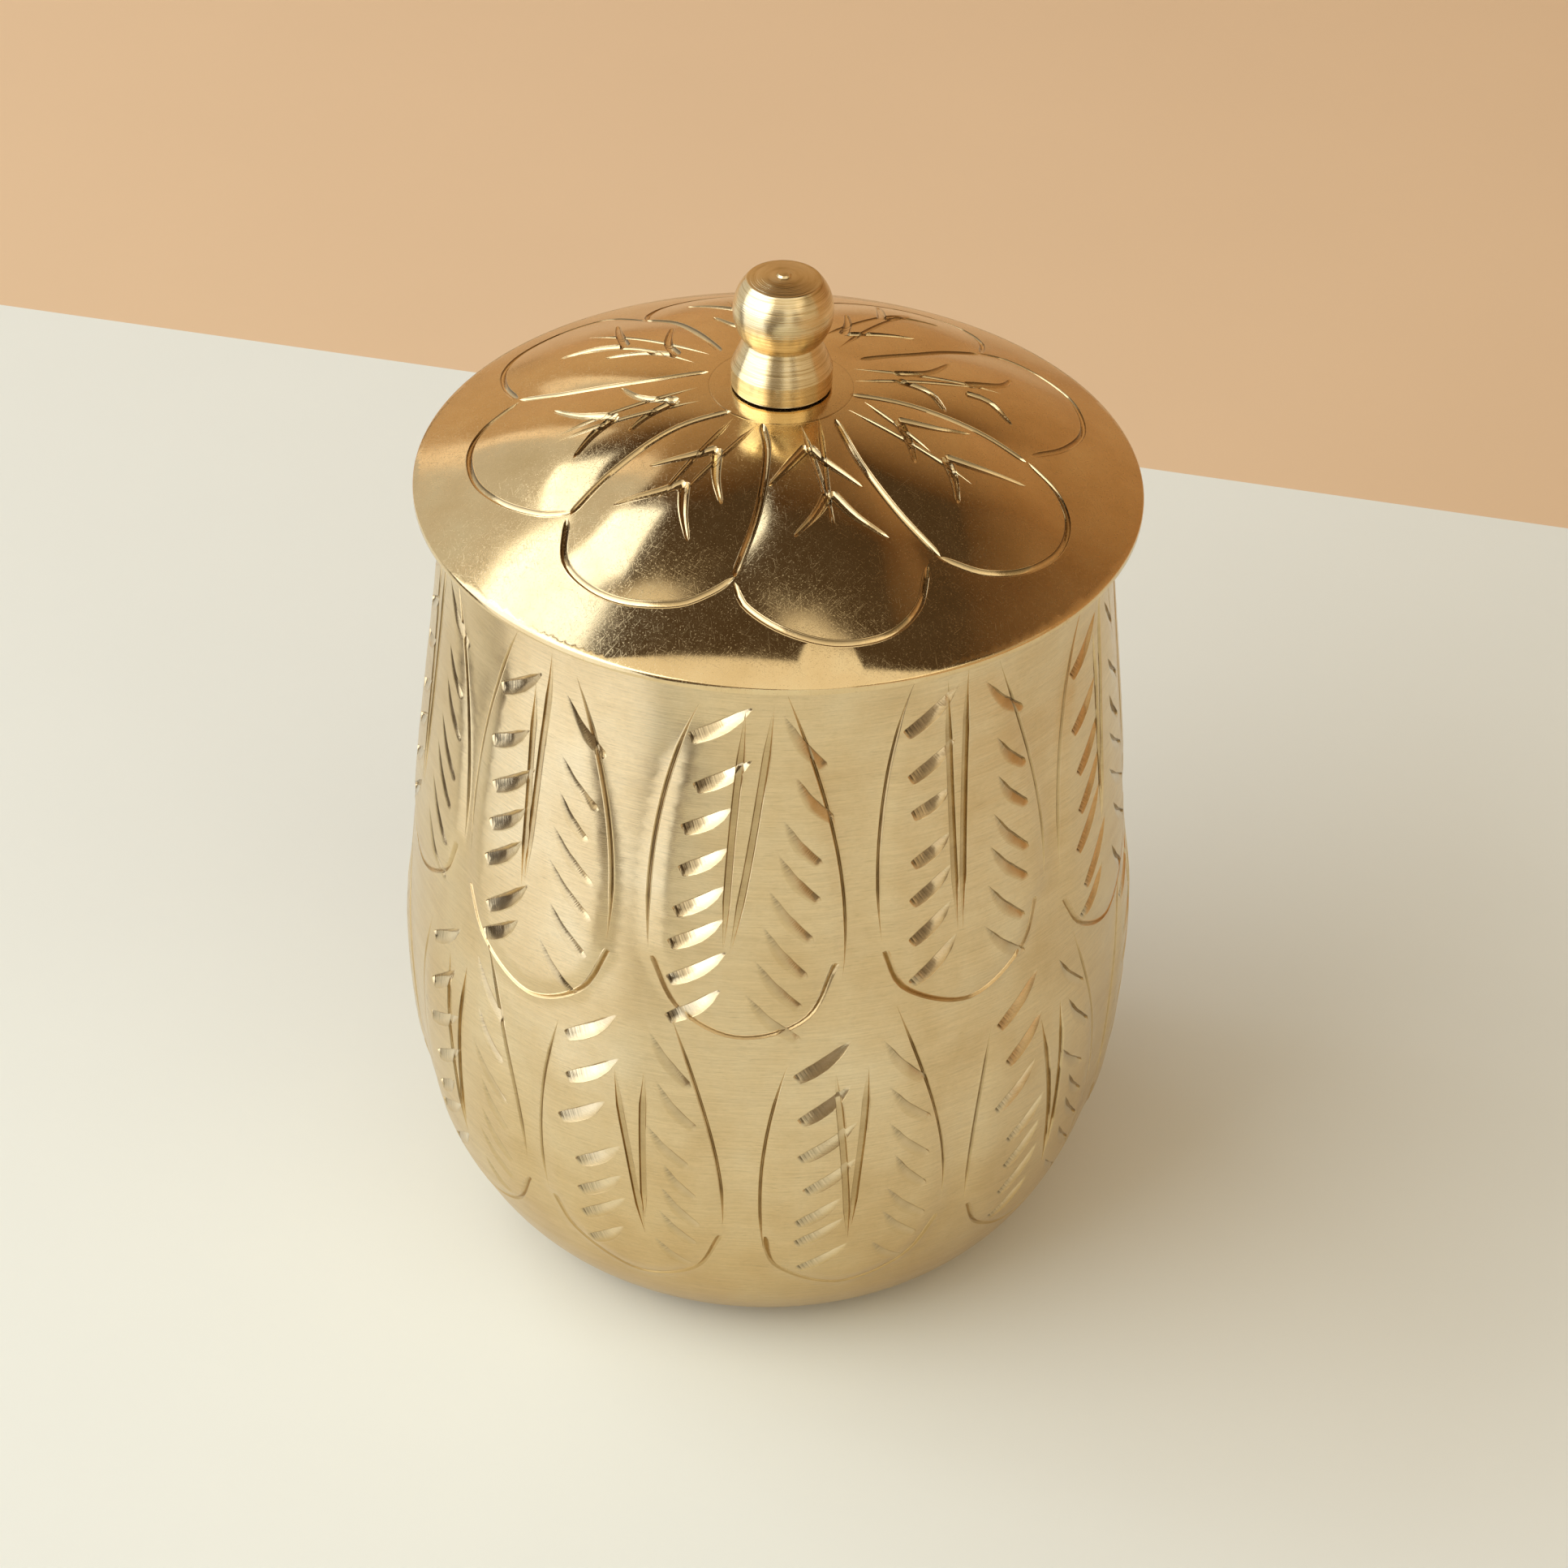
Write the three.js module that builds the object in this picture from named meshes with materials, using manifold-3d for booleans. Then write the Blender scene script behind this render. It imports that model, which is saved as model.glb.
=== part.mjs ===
// A lidded metal jar: a spun cup, a domed lid chased with an eight-petalled flower, and a turned knob.
// Millimetres, +Z up. The origin is the middle of the ring that the jar stands on.

import * as THREE from 'three';
import { mergeVertices } from 'three/addons/utils/BufferGeometryUtils.js';
import Module from 'manifold-3d';

// Jar: a cup of sheet metal, measured on its outside.
const jarHeight = 123.2;
const jarWall = 1.1;
const mouthRadius = 46.8;
const bellyRadius = 52.9;
const bellyHeight = 50.6;
const footRadius = 25;
const footRingWidth = 4.5;
const footRecess = 0.8;
const floorCorner = 1.5;
// Handles of the two wall curves, as shares of the way across and up from each curve's start to its end.
const lowerWallShares = [[0.87, 0], [1, 0.53]];
const upperWallShares = [[0, 0.22], [1.12, 0.83]];

// Leaves swelled out of the cup in two staggered rows. Each row's leaves open at a depth below the mouth
// and close in a round tip. The land between the leaves sinks by the height that a leaf rises, and this
// starts and ends gently near the mouth and the foot.
const leafCount = 10;
const leafRowDepths = [4, 54];
const leafFirstDegrees = [-93.1, -75];
const leafLength = 53;
const leafHalfDegrees = 16.5;
const leafWidestShare = 0.55;
const leafTipPower = 2.5;
const leafRise = 0.55;
const leafSlope = 2.4;
const leafFade = 14;
const landRun = 17;

// Lid: it stands out past the jar's mouth all round, and the height of its dome is measured from the
// rim's top edge to the flat seat under the knob.
const lidOverhang = 3.2;
const lidThickness = 1.1;
const domeRise = 14.6;
const seatRadius = 7.3;
// Handles of the dome's curve, as shares of the way out and down from the seat to the rim.
const domeShares = [[0.375, 0.11], [0.72, 0.655]];

// Flower pressed into the lid: each petal ends in a round arc, the petals meet in valleys, and a plain
// brim is left between their tips and the rim.
const petalCount = 8;
const petalStartRadius = 10.1;
const brimWidth = 7.2;
const petalArcRadius = 14.2;
const petalRise = 1.3;
const firstValleyDegrees = -99;

// Ring under the lid that centres it in the mouth.
const ringWall = 1;
const ringDepth = 6.5;
const ringClearance = 0.6;

// Knob: heights are measured from its underside.
const knobFootRadius = 6.4;
const knobFootHeight = 0.45;
const knobBandRadius = 6.9;
const knobBandTop = 2.9;
const knobNeckRadius = 5.2;
const knobBallRadius = 6.8;
const knobBallCentre = 11.4;
const knobCapRadius = 5;
const knobCapRise = 0.65;
const knobPipRadius = 0.95;
const knobPipHeight = 0.25;

// Screw and washer that hold the knob from inside the lid.
const screwRadius = 2;
const screwReach = 7.5;
const screwTipChamfer = 0.5;
const screwHeadRadius = 3.8;
const screwHeadHeight = 2.4;
const screwSlotWidth = 1.1;
const screwSlotDepth = 1.1;
const washerRadius = 5.5;
const washerThickness = 0.8;

// Clearances.
const seatGap = 0.3;
const boreClearance = 0.3;
const cutOverrun = 1;

// Fineness.
const jarColumns = 120;
const ringSegments = 72;
const lidColumns = 96;
const knobSegments = 40;
const screwSegments = 24;
const lowerWallSteps = 17;
const upperWallSteps = 17;
const innerWallSteps = 6;
const ballSteps = 14;
const halvings = 48;
// Rings of the lid, as shares of the way along a petal and of the way from its tip to the rim.
const petalRingShares = [0, 0.16, 0.32, 0.48, 0.62, 0.74, 0.84, 0.92, 1];
const brimRingShares = [0.5, 1];

const wasm = await Module();
wasm.setup();

const satinGold = new THREE.MeshStandardMaterial({ color: 0xcbb688, roughness: 0.38, metalness: 1 });
const polishedGold = new THREE.MeshStandardMaterial({ color: 0xcba363, roughness: 0.18, metalness: 1 });
const turnedGold = new THREE.MeshStandardMaterial({ color: 0xdccb97, roughness: 0.28, metalness: 1 });
const platedSteel = new THREE.MeshStandardMaterial({ color: 0xb8babd, roughness: 0.35, metalness: 1 });

// A curve from start to end whose two handles lie at shares of the way across and up between them.
function handledCurve(start, end, shares) {
  const span = end.clone().sub(start);
  const handles = shares.map(([across, up]) => start.clone().add(new THREE.Vector2(across, up).multiply(span)));
  return new THREE.CubicBezierCurve(start, handles[0], handles[1], end);
}

// Points of a curve moved inwards, square to the curve, by a wall thickness.
function innerPoints(curve, steps, thickness) {
  const points = [];
  for (let step = 0; step <= steps; step += 1) {
    const tangent = curve.getTangent(step / steps);
    const inward = new THREE.Vector2(-tangent.y, tangent.x);
    points.push(curve.getPoint(step / steps).addScaledVector(inward, thickness));
  }
  return points;
}

// A solid turned from a profile of radius and height. The profile runs up its outside.
function turned(profile, segments) {
  return new THREE.LatheGeometry(profile, segments).rotateX(Math.PI / 2);
}

// One point per column round the axis, at the radius and height that a function gives for its angle.
function ringAt(columns, place) {
  return Array.from({ length: columns }, (unused, column) => {
    const theta = (column / columns) * 2 * Math.PI;
    const { x: radius, y: height } = place(theta);
    return new THREE.Vector3(radius * Math.cos(theta), radius * Math.sin(theta), height);
  });
}

// Bands of quads through rings that each hold one point per column. The last ring joins the first, unless
// the rings start and end on the axis.
function ringGrid(rings, joined = true) {
  const columns = rings[0].length;
  const index = [];
  rings.slice(0, joined ? rings.length : -1).forEach((ring, row) => {
    const below = row * columns;
    const above = ((row + 1) % rings.length) * columns;
    ring.forEach((point, column) => {
      const next = (column + 1) % columns;
      index.push(below + column, above + column, above + next);
      index.push(below + column, above + next, below + next);
    });
  });
  const geometry = new THREE.BufferGeometry().setFromPoints(rings.flat());
  geometry.setIndex(index);
  geometry.computeVertexNormals();
  return geometry;
}

function toManifold(geometry) {
  const bare = geometry.clone();
  bare.deleteAttribute('normal');
  bare.deleteAttribute('uv');
  const merged = mergeVertices(bare);
  const vertProperties = new Float32Array(merged.attributes.position.array);
  const triVerts = new Uint32Array(merged.index.array);
  return new wasm.Manifold(new wasm.Mesh({ numProp: 3, vertProperties, triVerts }));
}

function fromManifold(solid) {
  const { vertProperties, triVerts } = solid.getMesh();
  const geometry = new THREE.BufferGeometry();
  geometry.setAttribute('position', new THREE.BufferAttribute(vertProperties, 3));
  geometry.setIndex(new THREE.BufferAttribute(triVerts, 1));
  geometry.computeVertexNormals();
  return geometry;
}

// Jar. The floor rises inside the foot ring, so that the jar stands on the ring alone.
const footPoint = new THREE.Vector2(footRadius, 0);
const bellyPoint = new THREE.Vector2(bellyRadius, bellyHeight);
const mouthPoint = new THREE.Vector2(mouthRadius, jarHeight);
const lowerWall = handledCurve(footPoint, bellyPoint, lowerWallShares);
const upperWall = handledCurve(bellyPoint, mouthPoint, upperWallShares);
const jarInnerFloor = footRecess + jarWall;

// Angle from the middle of the nearest of several places evenly spaced round the axis.
function angleFromNearest(theta, first, pitch) {
  const turns = (theta - first) / pitch;
  return (turns - Math.round(turns)) * pitch;
}

// Half the width of a leaf at a share of its length, as a share of its greatest half width.
function leafShape(share) {
  if (share < leafWidestShare) return 1 - (1 - share / leafWidestShare) ** 2;
  return Math.sqrt(1 - ((share - leafWidestShare) / (1 - leafWidestShare)) ** leafTipPower);
}

// How far a leaf rises: steeply from its outline, and less towards its open top.
function leafHeight(theta, radius, depth) {
  const heights = leafRowDepths.map((rowDepth, row) => {
    const share = (depth - rowDepth) / leafLength;
    if (share <= 0 || share >= 1) return 0;
    const first = THREE.MathUtils.degToRad(leafFirstDegrees[row]);
    const angle = Math.abs(angleFromNearest(theta, first, (2 * Math.PI) / leafCount));
    const aside = (THREE.MathUtils.degToRad(leafHalfDegrees) * leafShape(share) - angle) * radius;
    const inside = Math.max(Math.min(aside, (1 - share) * leafLength), 0);
    const fade = THREE.MathUtils.smoothstep(share * leafLength, 0, leafFade);
    return leafRise * fade * (1 - Math.exp(-inside / leafSlope));
  });
  return Math.max(...heights);
}

function landDepth(height) {
  return leafRise * Math.max(Math.min((jarHeight - height) / landRun, height / landRun, 1), 0);
}

// Rings down one wall curve, moved square to the curve by the leaves and the land.
function wallRings(curve, steps) {
  return Array.from({ length: steps + 1 }, (unused, step) => {
    const point = curve.getPoint(1 - step / steps);
    const tangent = curve.getTangent(1 - step / steps);
    return ringAt(jarColumns, (theta) => {
      const swell = leafHeight(theta, point.x, jarHeight - point.y) - landDepth(point.y);
      return new THREE.Vector2(point.x + tangent.y * swell, point.y - tangent.x * swell);
    });
  });
}

// The profile runs up the inside, over the mouth, down the outside and back to the axis underneath.
function jarBody() {
  const inside = innerPoints(lowerWall, innerWallSteps, jarWall).concat(
    innerPoints(upperWall, innerWallSteps, jarWall).slice(1),
  );
  const innerWall = inside
    .filter((point) => point.y > jarInnerFloor + floorCorner && point.y < jarHeight)
    .map((point) => new THREE.Vector2(point.x - landDepth(point.y), point.y));
  const plain = (points) => points.map((point) => ringAt(jarColumns, () => point));
  return ringGrid([
    ...plain([
      new THREE.Vector2(0, jarInnerFloor),
      new THREE.Vector2(innerWall[0].x - 2 * floorCorner, jarInnerFloor),
      ...innerWall,
      new THREE.Vector2(mouthRadius - jarWall, jarHeight),
    ]),
    ...wallRings(upperWall, upperWallSteps),
    ...wallRings(lowerWall, lowerWallSteps).slice(1),
    ...plain([
      new THREE.Vector2(footRadius - footRingWidth, 0),
      new THREE.Vector2(footRadius - footRingWidth - footRecess, footRecess),
      new THREE.Vector2(0, footRecess),
    ]),
  ], false);
}

// Lid. Its height over the rim's top edge follows one curve from the knob's seat to the rim.
const lidRadius = mouthRadius + lidOverhang;
const petalTipRadius = lidRadius - brimWidth;
const domeCurve = handledCurve(
  new THREE.Vector2(seatRadius, domeRise),
  new THREE.Vector2(lidRadius, 0),
  domeShares,
);

// Height of the dome at a radius, found by halving the curve's parameter range.
function domeHeight(radius) {
  if (radius <= seatRadius) return domeRise;
  let low = 0;
  let high = 1;
  for (let halving = 0; halving < halvings; halving += 1) {
    const middle = (low + high) / 2;
    if (domeCurve.getPoint(middle).x < radius) low = middle;
    else high = middle;
  }
  return domeCurve.getPoint(high).y;
}

// The lid's underside at the mouth clears the jar's rim by the seat gap.
const lidLevel = jarHeight + seatGap + lidThickness - domeHeight(mouthRadius);
const seatLevel = lidLevel + domeRise;
const petalPitch = (2 * Math.PI) / petalCount;
const firstValley = THREE.MathUtils.degToRad(firstValleyDegrees);

function petalAngle(theta) {
  return angleFromNearest(theta, firstValley + petalPitch / 2, petalPitch);
}

// Radius of the flower's outline: a circle of the petal's arc radius whose far side reaches the tip.
function outlineRadius(theta) {
  const angle = petalAngle(theta);
  const centre = petalTipRadius - petalArcRadius;
  const across = centre * Math.sin(angle);
  return centre * Math.cos(angle) + Math.sqrt(Math.max(petalArcRadius ** 2 - across ** 2, 0));
}

// A petal is flat at its edges and fullest near its tip.
function petalHeight(theta, share) {
  const across = Math.sqrt(Math.max(Math.cos((petalAngle(theta) / petalPitch) * Math.PI), 0));
  const along = Math.sin(Math.PI * share ** 2);
  return petalRise * across * along;
}

function lidRing(radiusAt, shareAt, drop) {
  return Array.from({ length: lidColumns }, (unused, column) => {
    const theta = firstValley + (column / lidColumns) * 2 * Math.PI;
    const radius = radiusAt(theta);
    const height = lidLevel + domeHeight(radius) + petalHeight(theta, shareAt) - drop;
    return new THREE.Vector3(radius * Math.cos(theta), radius * Math.sin(theta), height);
  });
}

function lidFace(drop) {
  const hole = lidRing(() => screwRadius + boreClearance, 0, drop);
  const seat = lidRing(() => seatRadius, 0, drop);
  const petals = petalRingShares.map((share) => (
    lidRing((theta) => THREE.MathUtils.lerp(petalStartRadius, outlineRadius(theta), share), share, drop)
  ));
  const brim = brimRingShares.map((share) => (
    lidRing((theta) => THREE.MathUtils.lerp(outlineRadius(theta), lidRadius, share), 0, drop)
  ));
  return [hole, seat, ...petals, ...brim];
}

function lidShell() {
  return ringGrid([...lidFace(0), ...lidFace(lidThickness).reverse()]);
}

// Locating ring. Its top edge follows the slope of the lid's underside.
const ringOuter = mouthRadius - jarWall - ringClearance;
const ringInner = ringOuter - ringWall;

function underside(radius) {
  return lidLevel + domeHeight(radius) - lidThickness;
}

function lidLocatingRing() {
  const bottom = jarHeight - ringDepth;
  const corners = [
    new THREE.Vector2(ringInner, bottom),
    new THREE.Vector2(ringOuter, bottom),
    new THREE.Vector2(ringOuter, underside(ringOuter) - seatGap),
    new THREE.Vector2(ringInner, underside(ringInner) - seatGap),
    new THREE.Vector2(ringInner, bottom),
  ];
  return turned(corners, ringSegments);
}

// Knob, with a blind hole in its underside for the screw.
const knobHoleRadius = screwRadius + boreClearance;
const knobHoleDepth = screwReach + boreClearance;

function knobBody() {
  const neckAngle = -Math.acos(knobNeckRadius / knobBallRadius);
  const capAngle = Math.acos(knobCapRadius / knobBallRadius);
  const ball = Array.from({ length: ballSteps + 1 }, (unused, step) => {
    const angle = THREE.MathUtils.lerp(neckAngle, capAngle, step / ballSteps);
    return new THREE.Vector2(knobBallRadius * Math.cos(angle), knobBallCentre + knobBallRadius * Math.sin(angle));
  });
  const capTop = ball[ballSteps].y + knobCapRise;
  const profile = [
    new THREE.Vector2(0, knobHoleDepth),
    new THREE.Vector2(knobHoleRadius, knobHoleDepth),
    new THREE.Vector2(knobHoleRadius, 0),
    new THREE.Vector2(knobFootRadius, 0),
    new THREE.Vector2(knobFootRadius, knobFootHeight),
    new THREE.Vector2(knobBandRadius, knobFootHeight),
    new THREE.Vector2(knobBandRadius, knobBandTop),
    ...ball,
    new THREE.Vector2(knobPipRadius, capTop),
    new THREE.Vector2(knobPipRadius, capTop + knobPipHeight),
    new THREE.Vector2(0, capTop + knobPipHeight),
  ];
  return turned(profile, knobSegments);
}

// Screw: heights are measured from the seat of its head, upwards along the shank.
const washerTop = seatLevel - lidThickness - seatGap;
const washerBottom = washerTop - washerThickness;
const headTop = washerBottom - seatGap;
const knobBottom = seatLevel + seatGap;
const shankLength = knobBottom + screwReach - headTop;

function knobScrew() {
  const profile = [
    new THREE.Vector2(0, -screwHeadHeight),
    new THREE.Vector2(screwHeadRadius - screwHeadHeight / 2, -screwHeadHeight),
    new THREE.Vector2(screwHeadRadius, -screwHeadHeight / 2),
    new THREE.Vector2(screwHeadRadius, 0),
    new THREE.Vector2(screwRadius, 0),
    new THREE.Vector2(screwRadius, shankLength - screwTipChamfer),
    new THREE.Vector2(screwRadius - screwTipChamfer, shankLength),
    new THREE.Vector2(0, shankLength),
  ];
  const slotHeight = screwSlotDepth + cutOverrun;
  const slot = new THREE.BoxGeometry(2 * (screwHeadRadius + cutOverrun), screwSlotWidth, slotHeight);
  slot.translate(0, 0, screwSlotDepth - screwHeadHeight - slotHeight / 2);
  return fromManifold(toManifold(turned(profile, screwSegments)).subtract(toManifold(slot)));
}

function screwWasher() {
  const hole = screwRadius + boreClearance;
  const profile = [
    new THREE.Vector2(hole, 0),
    new THREE.Vector2(washerRadius, 0),
    new THREE.Vector2(washerRadius, washerThickness),
    new THREE.Vector2(hole, washerThickness),
    new THREE.Vector2(hole, 0),
  ];
  return turned(profile, screwSegments);
}

function named(name, geometry, material, height = 0) {
  const mesh = new THREE.Mesh(geometry, material);
  mesh.name = name;
  mesh.position.z = height;
  return mesh;
}

const lid = new THREE.Group();
lid.add(named('lid_shell', lidShell(), polishedGold));
lid.add(named('lid_locating_ring', lidLocatingRing(), polishedGold));
lid.add(named('knob', knobBody(), turnedGold, knobBottom));
lid.add(named('knob_screw', knobScrew(), platedSteel, headTop));
lid.add(named('screw_washer', screwWasher(), platedSteel, washerBottom));

const group = new THREE.Group();
group.add(named('jar_body', jarBody(), satinGold));
group.add(lid);

export default group;
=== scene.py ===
# %% [markdown]
# # A lidded metal jar, engraved with leaves
#
# The real object is a small storage jar of gold-coloured aluminium. A round-bellied cup is spun from
# sheet, a domed lid with a chased flower sits on it, and a knob turned from bar is screwed to the lid.
# What makes it rich to look at is handwork: hundreds of tool cuts in metal that reflects its
# surroundings. This lesson builds those cuts as real geometry and keeps the materials simple.

# %% Load the fixed frame
import math

import bpy
import numpy as np
from mathutils import Matrix, Vector
from mathutils.geometry import delaunay_2d_cdt


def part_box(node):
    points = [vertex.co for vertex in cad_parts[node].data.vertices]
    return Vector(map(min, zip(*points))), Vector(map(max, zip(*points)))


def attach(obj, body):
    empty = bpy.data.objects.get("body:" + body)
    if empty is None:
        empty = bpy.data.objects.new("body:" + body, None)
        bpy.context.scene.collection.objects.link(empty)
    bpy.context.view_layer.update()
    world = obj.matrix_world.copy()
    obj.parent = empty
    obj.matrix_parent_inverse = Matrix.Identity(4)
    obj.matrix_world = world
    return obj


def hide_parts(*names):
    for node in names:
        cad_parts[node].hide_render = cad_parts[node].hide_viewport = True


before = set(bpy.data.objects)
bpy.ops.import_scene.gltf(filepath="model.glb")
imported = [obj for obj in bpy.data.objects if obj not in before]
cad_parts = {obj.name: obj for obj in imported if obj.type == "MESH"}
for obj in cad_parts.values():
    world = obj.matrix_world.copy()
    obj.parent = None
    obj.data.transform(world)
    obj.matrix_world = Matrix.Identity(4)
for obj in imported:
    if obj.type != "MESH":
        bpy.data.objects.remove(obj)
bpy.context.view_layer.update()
MM = 0.001

# %% [markdown]
# ## The sizes
#
# Everything is measured in millimetres and turned into metres when a mesh is made. The overall sizes
# are read from the frame's solids. The curves repeat the driving sizes of those solids, so that each
# finished piece lies on its solid.

# %% Driving sizes
jar_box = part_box("jar_body")
belly_radius = 52.87
jar_height = jar_box[1].z / MM
knob_bottom, knob_top = (corner.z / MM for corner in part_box("knob"))
ring_low, ring_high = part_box("lid_locating_ring")
washer_low, washer_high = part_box("screw_washer")
screw_low, screw_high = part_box("knob_screw")

sheet = 1.1
mouth_radius = 46.8
belly_height = 50.6
foot_radius = 25.0
foot_ring_width = 4.5
foot_recess = 0.8
lower_wall_shares = ((0.87, 0.0), (1.0, 0.53))
upper_wall_shares = ((0.0, 0.22), (1.12, 0.83))

lid_radius = 50.0
seat_radius = 7.3
dome_rise = 14.6
dome_shares = ((0.375, 0.11), (0.72, 0.655))
seat_gap = 0.3
screw_hole_radius = 2.3
print("jar", round(belly_radius, 2), "mm in radius and", round(jar_height, 2), "mm high")
print("knob from", round(knob_bottom, 2), "to", round(knob_top, 2), "mm above the table")

# %% [markdown]
# ## The camera
#
# The photograph looks down on the jar from in front, at about 37 degrees, through a long lens that is
# held about 2 degrees off level. The camera is made first, from its real place and its three angles.

# %% Camera
camera_place = (0.37, -515.52, 453.95)
camera_down, camera_yaw, camera_roll = (math.radians(a) for a in (36.636, 0.175, 1.6695))
camera_data = bpy.data.cameras.new("photo_camera")
camera_data.sensor_width = 36.0
camera_data.lens = 102.48
camera_data.clip_start = 0.01
camera = bpy.data.objects.new("photo_camera", camera_data)
bpy.context.collection.objects.link(camera)
aim = Matrix.Rotation(-camera_yaw, 4, "Z") @ Matrix.Rotation(math.pi / 2 - camera_down, 4, "X")
camera.matrix_world = (
    Matrix.Translation(Vector(camera_place) * MM) @ aim @ Matrix.Rotation(camera_roll, 4, "Z")
)
bpy.context.scene.camera = camera

# %% [markdown]
# ## Curves and hand-drawn paths
#
# Two kinds of curve do all the drawing. The spun profiles are cubic Bezier curves, because a spinner's
# wall swells smoothly between few fixed places. Strokes of the graver go through a few chosen points,
# so they use a spline that passes through every one of them.


# %% Curve helpers
def bezier(corners, count):
    """A cubic Bezier curve: with t from 0 to 1, the four corners weighted by (1-t)^3, 3t(1-t)^2,
    3t^2(1-t) and t^3."""
    a, b, c, d = np.asarray(corners, float)
    t = np.linspace(0, 1, count)[:, None]
    return (1 - t) ** 3 * a + 3 * t * (1 - t) ** 2 * b + 3 * t**2 * (1 - t) * c + t**3 * d


def handled(start, end, shares, count):
    """A Bezier curve whose two handles lie at shares of the way across and up from start to end."""
    start, end = np.asarray(start, float), np.asarray(end, float)
    handles = [start + np.asarray(share) * (end - start) for share in shares]
    return bezier([start, *handles, end], count)


def smooth_path(points, fineness=16):
    """A path through the points. Between two points it is a cubic whose slope at each is half the way
    from the point before to the point after."""
    p = np.asarray(points, float)
    beyond = np.vstack([2 * p[0] - p[1], p, 2 * p[-1] - p[-2]])
    slope = (beyond[2:] - beyond[:-2]) / 2
    t = np.linspace(0, 1, fineness, endpoint=False)[:, None, None]
    start = (2 * t**3 - 3 * t**2 + 1) * p[:-1] + (t**3 - 2 * t**2 + t) * slope[:-1]
    end = (3 * t**2 - 2 * t**3) * p[1:] + (t**3 - t**2) * slope[1:]
    curve = (start + end).transpose(1, 0, 2).reshape(-1, 2)
    return np.vstack([curve, p[-1]])


def bowed(start, end, bow):
    """Three points from start to end, the middle one pushed to the right of the way by the bow."""
    start, end = np.asarray(start, float), np.asarray(end, float)
    way = (end - start) / np.hypot(*(end - start))
    return [start, (start + end) / 2 + bow * np.array([-way[1], way[0]]), end]


# %% [markdown]
# ## Tool cuts
#
# A cut is a path with a width, a depth and a cross-section. The graver leaves a V. The flat chisel,
# held at a slant, leaves a facet that falls to a crisp steep edge and throws up a small lip. A
# texture could draw these, but only geometry catches the light as the real facets do, so each cut is
# worked out as a depth at any point near its path.

# %% Cross-sections and tapers of the cuts
# A section runs from -1 to 1 across the cut and gives the share of the full depth there, where negative
# is a lip that stands proud, and how dark the metal is painted there: tarnish in the hollows, and painted
# shade along the steep walls and top edges, where the walls of a cut look dark. A taper gives the shares
# of width and of depth along the cut. The evenly spaced points of a path keep clear of the taper's stops
# by a share of a step. A cut acts in the box round its path, widened by its reach in half widths, and a
# half width counts as no less than the least one, because it divides.
stop_clearance = 0.35
cut_reach = 1.5
least_half = 1e-4
SECTIONS = {
    "graver": (
        (-1.7, -1.25, -0.95, -0.15, 0.15, 0.95, 1.25, 1.7),
        (0, -0.15, 0, 1, 1, 0, -0.15, 0),
        (0, 0, 0.45, 0.8, 0.8, 0.5, 0, 0),
    ),
    "round_graver": (
        (-1.5, -1.2, -0.95, 0, 0.95, 1.2, 1.5),
        (0, -0.15, 0, 1, 0, -0.24, 0),
        (0, 0, 0.55, 0.5, 0.3, 0, 0),
    ),
    "scorper": (
        (-1.25, -1.0, -0.78, 0.72, 0.95, 1.15, 1.4),
        (0, 0, 0.85, 1, 0, -0.3, 0),
        (0, 0.9, 0.55, 0.5, 0.5, 0, 0),
    ),
    "chisel": (
        (-1.3, -1.1, -1.0, 0, 0.9, 1.0, 1.2),
        (0, -0.1, 0, 0.5, 1, 0, 0),
        (0, 0, 0.4, 0, 0.2, 1, 0),
    ),
    "spoon": (
        (-1.3, -1.0, -0.4, 0.3, 0.86, 1.0, 1.2),
        (0, 0, 0.22, 0.62, 1, 0, 0),
        (0, 0.25, 0.42, 0.5, 0.6, 1, 0),
    ),
    "needle": (
        (-1.35, -1.1, -0.95, -0.5, 0, 0.5, 0.95, 1.1, 1.35),
        (0, -0.1, 0, 0.8, 1, 0.8, 0, -0.1, 0),
        (0, 0, 0.9, 0.3, 0.05, 0.12, 0.9, 0.1, 0),
    ),
    "scriber": ((-1.0, -0.1, 0.1, 1.0), (0, 1, 1, 0), (0, 0.35, 0.35, 0)),
}
TAPERS = {
    "both_ends_fine": ((0, 0.2, 0.8, 1), (0.05, 1, 1, 0.05), (0, 1, 1, 0)),
    "blunt_ends": (
        (0, 0.015, 0.14, 0.5, 0.86, 0.985, 1),
        (0.8, 1, 0.85, 0.7, 0.85, 1, 0.8),
        (0, 1, 1, 1, 1, 1, 0),
    ),
    "round_ends": ((0, 0.02, 0.05, 0.95, 0.98, 1), (0.3, 0.8, 1, 1, 0.8, 0.3), (0, 0.8, 1, 1, 0.8, 0)),
    "broad_start": (
        (0, 0.03, 0.25, 0.5, 0.75, 1),
        (0.7, 0.84, 1, 0.96, 0.7, 0.04),
        (0, 0.42, 0.82, 1, 0.8, 0),
    ),
    "broad_end": ((0, 0.25, 0.6, 0.93, 1), (0.05, 0.66, 1, 0.8, 0.4), (0, 0.7, 1, 0.9, 0)),
    "thick_start": ((0, 0.04, 0.4, 0.93, 1), (0.6, 1, 0.85, 0.45, 0.2), (0, 1, 0.9, 0.6, 0)),
}


def lengths_along(path):
    """How far along a path each of its points lies."""
    return np.concatenate([[0], np.cumsum(np.hypot(*np.diff(path, axis=0).T))])


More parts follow.
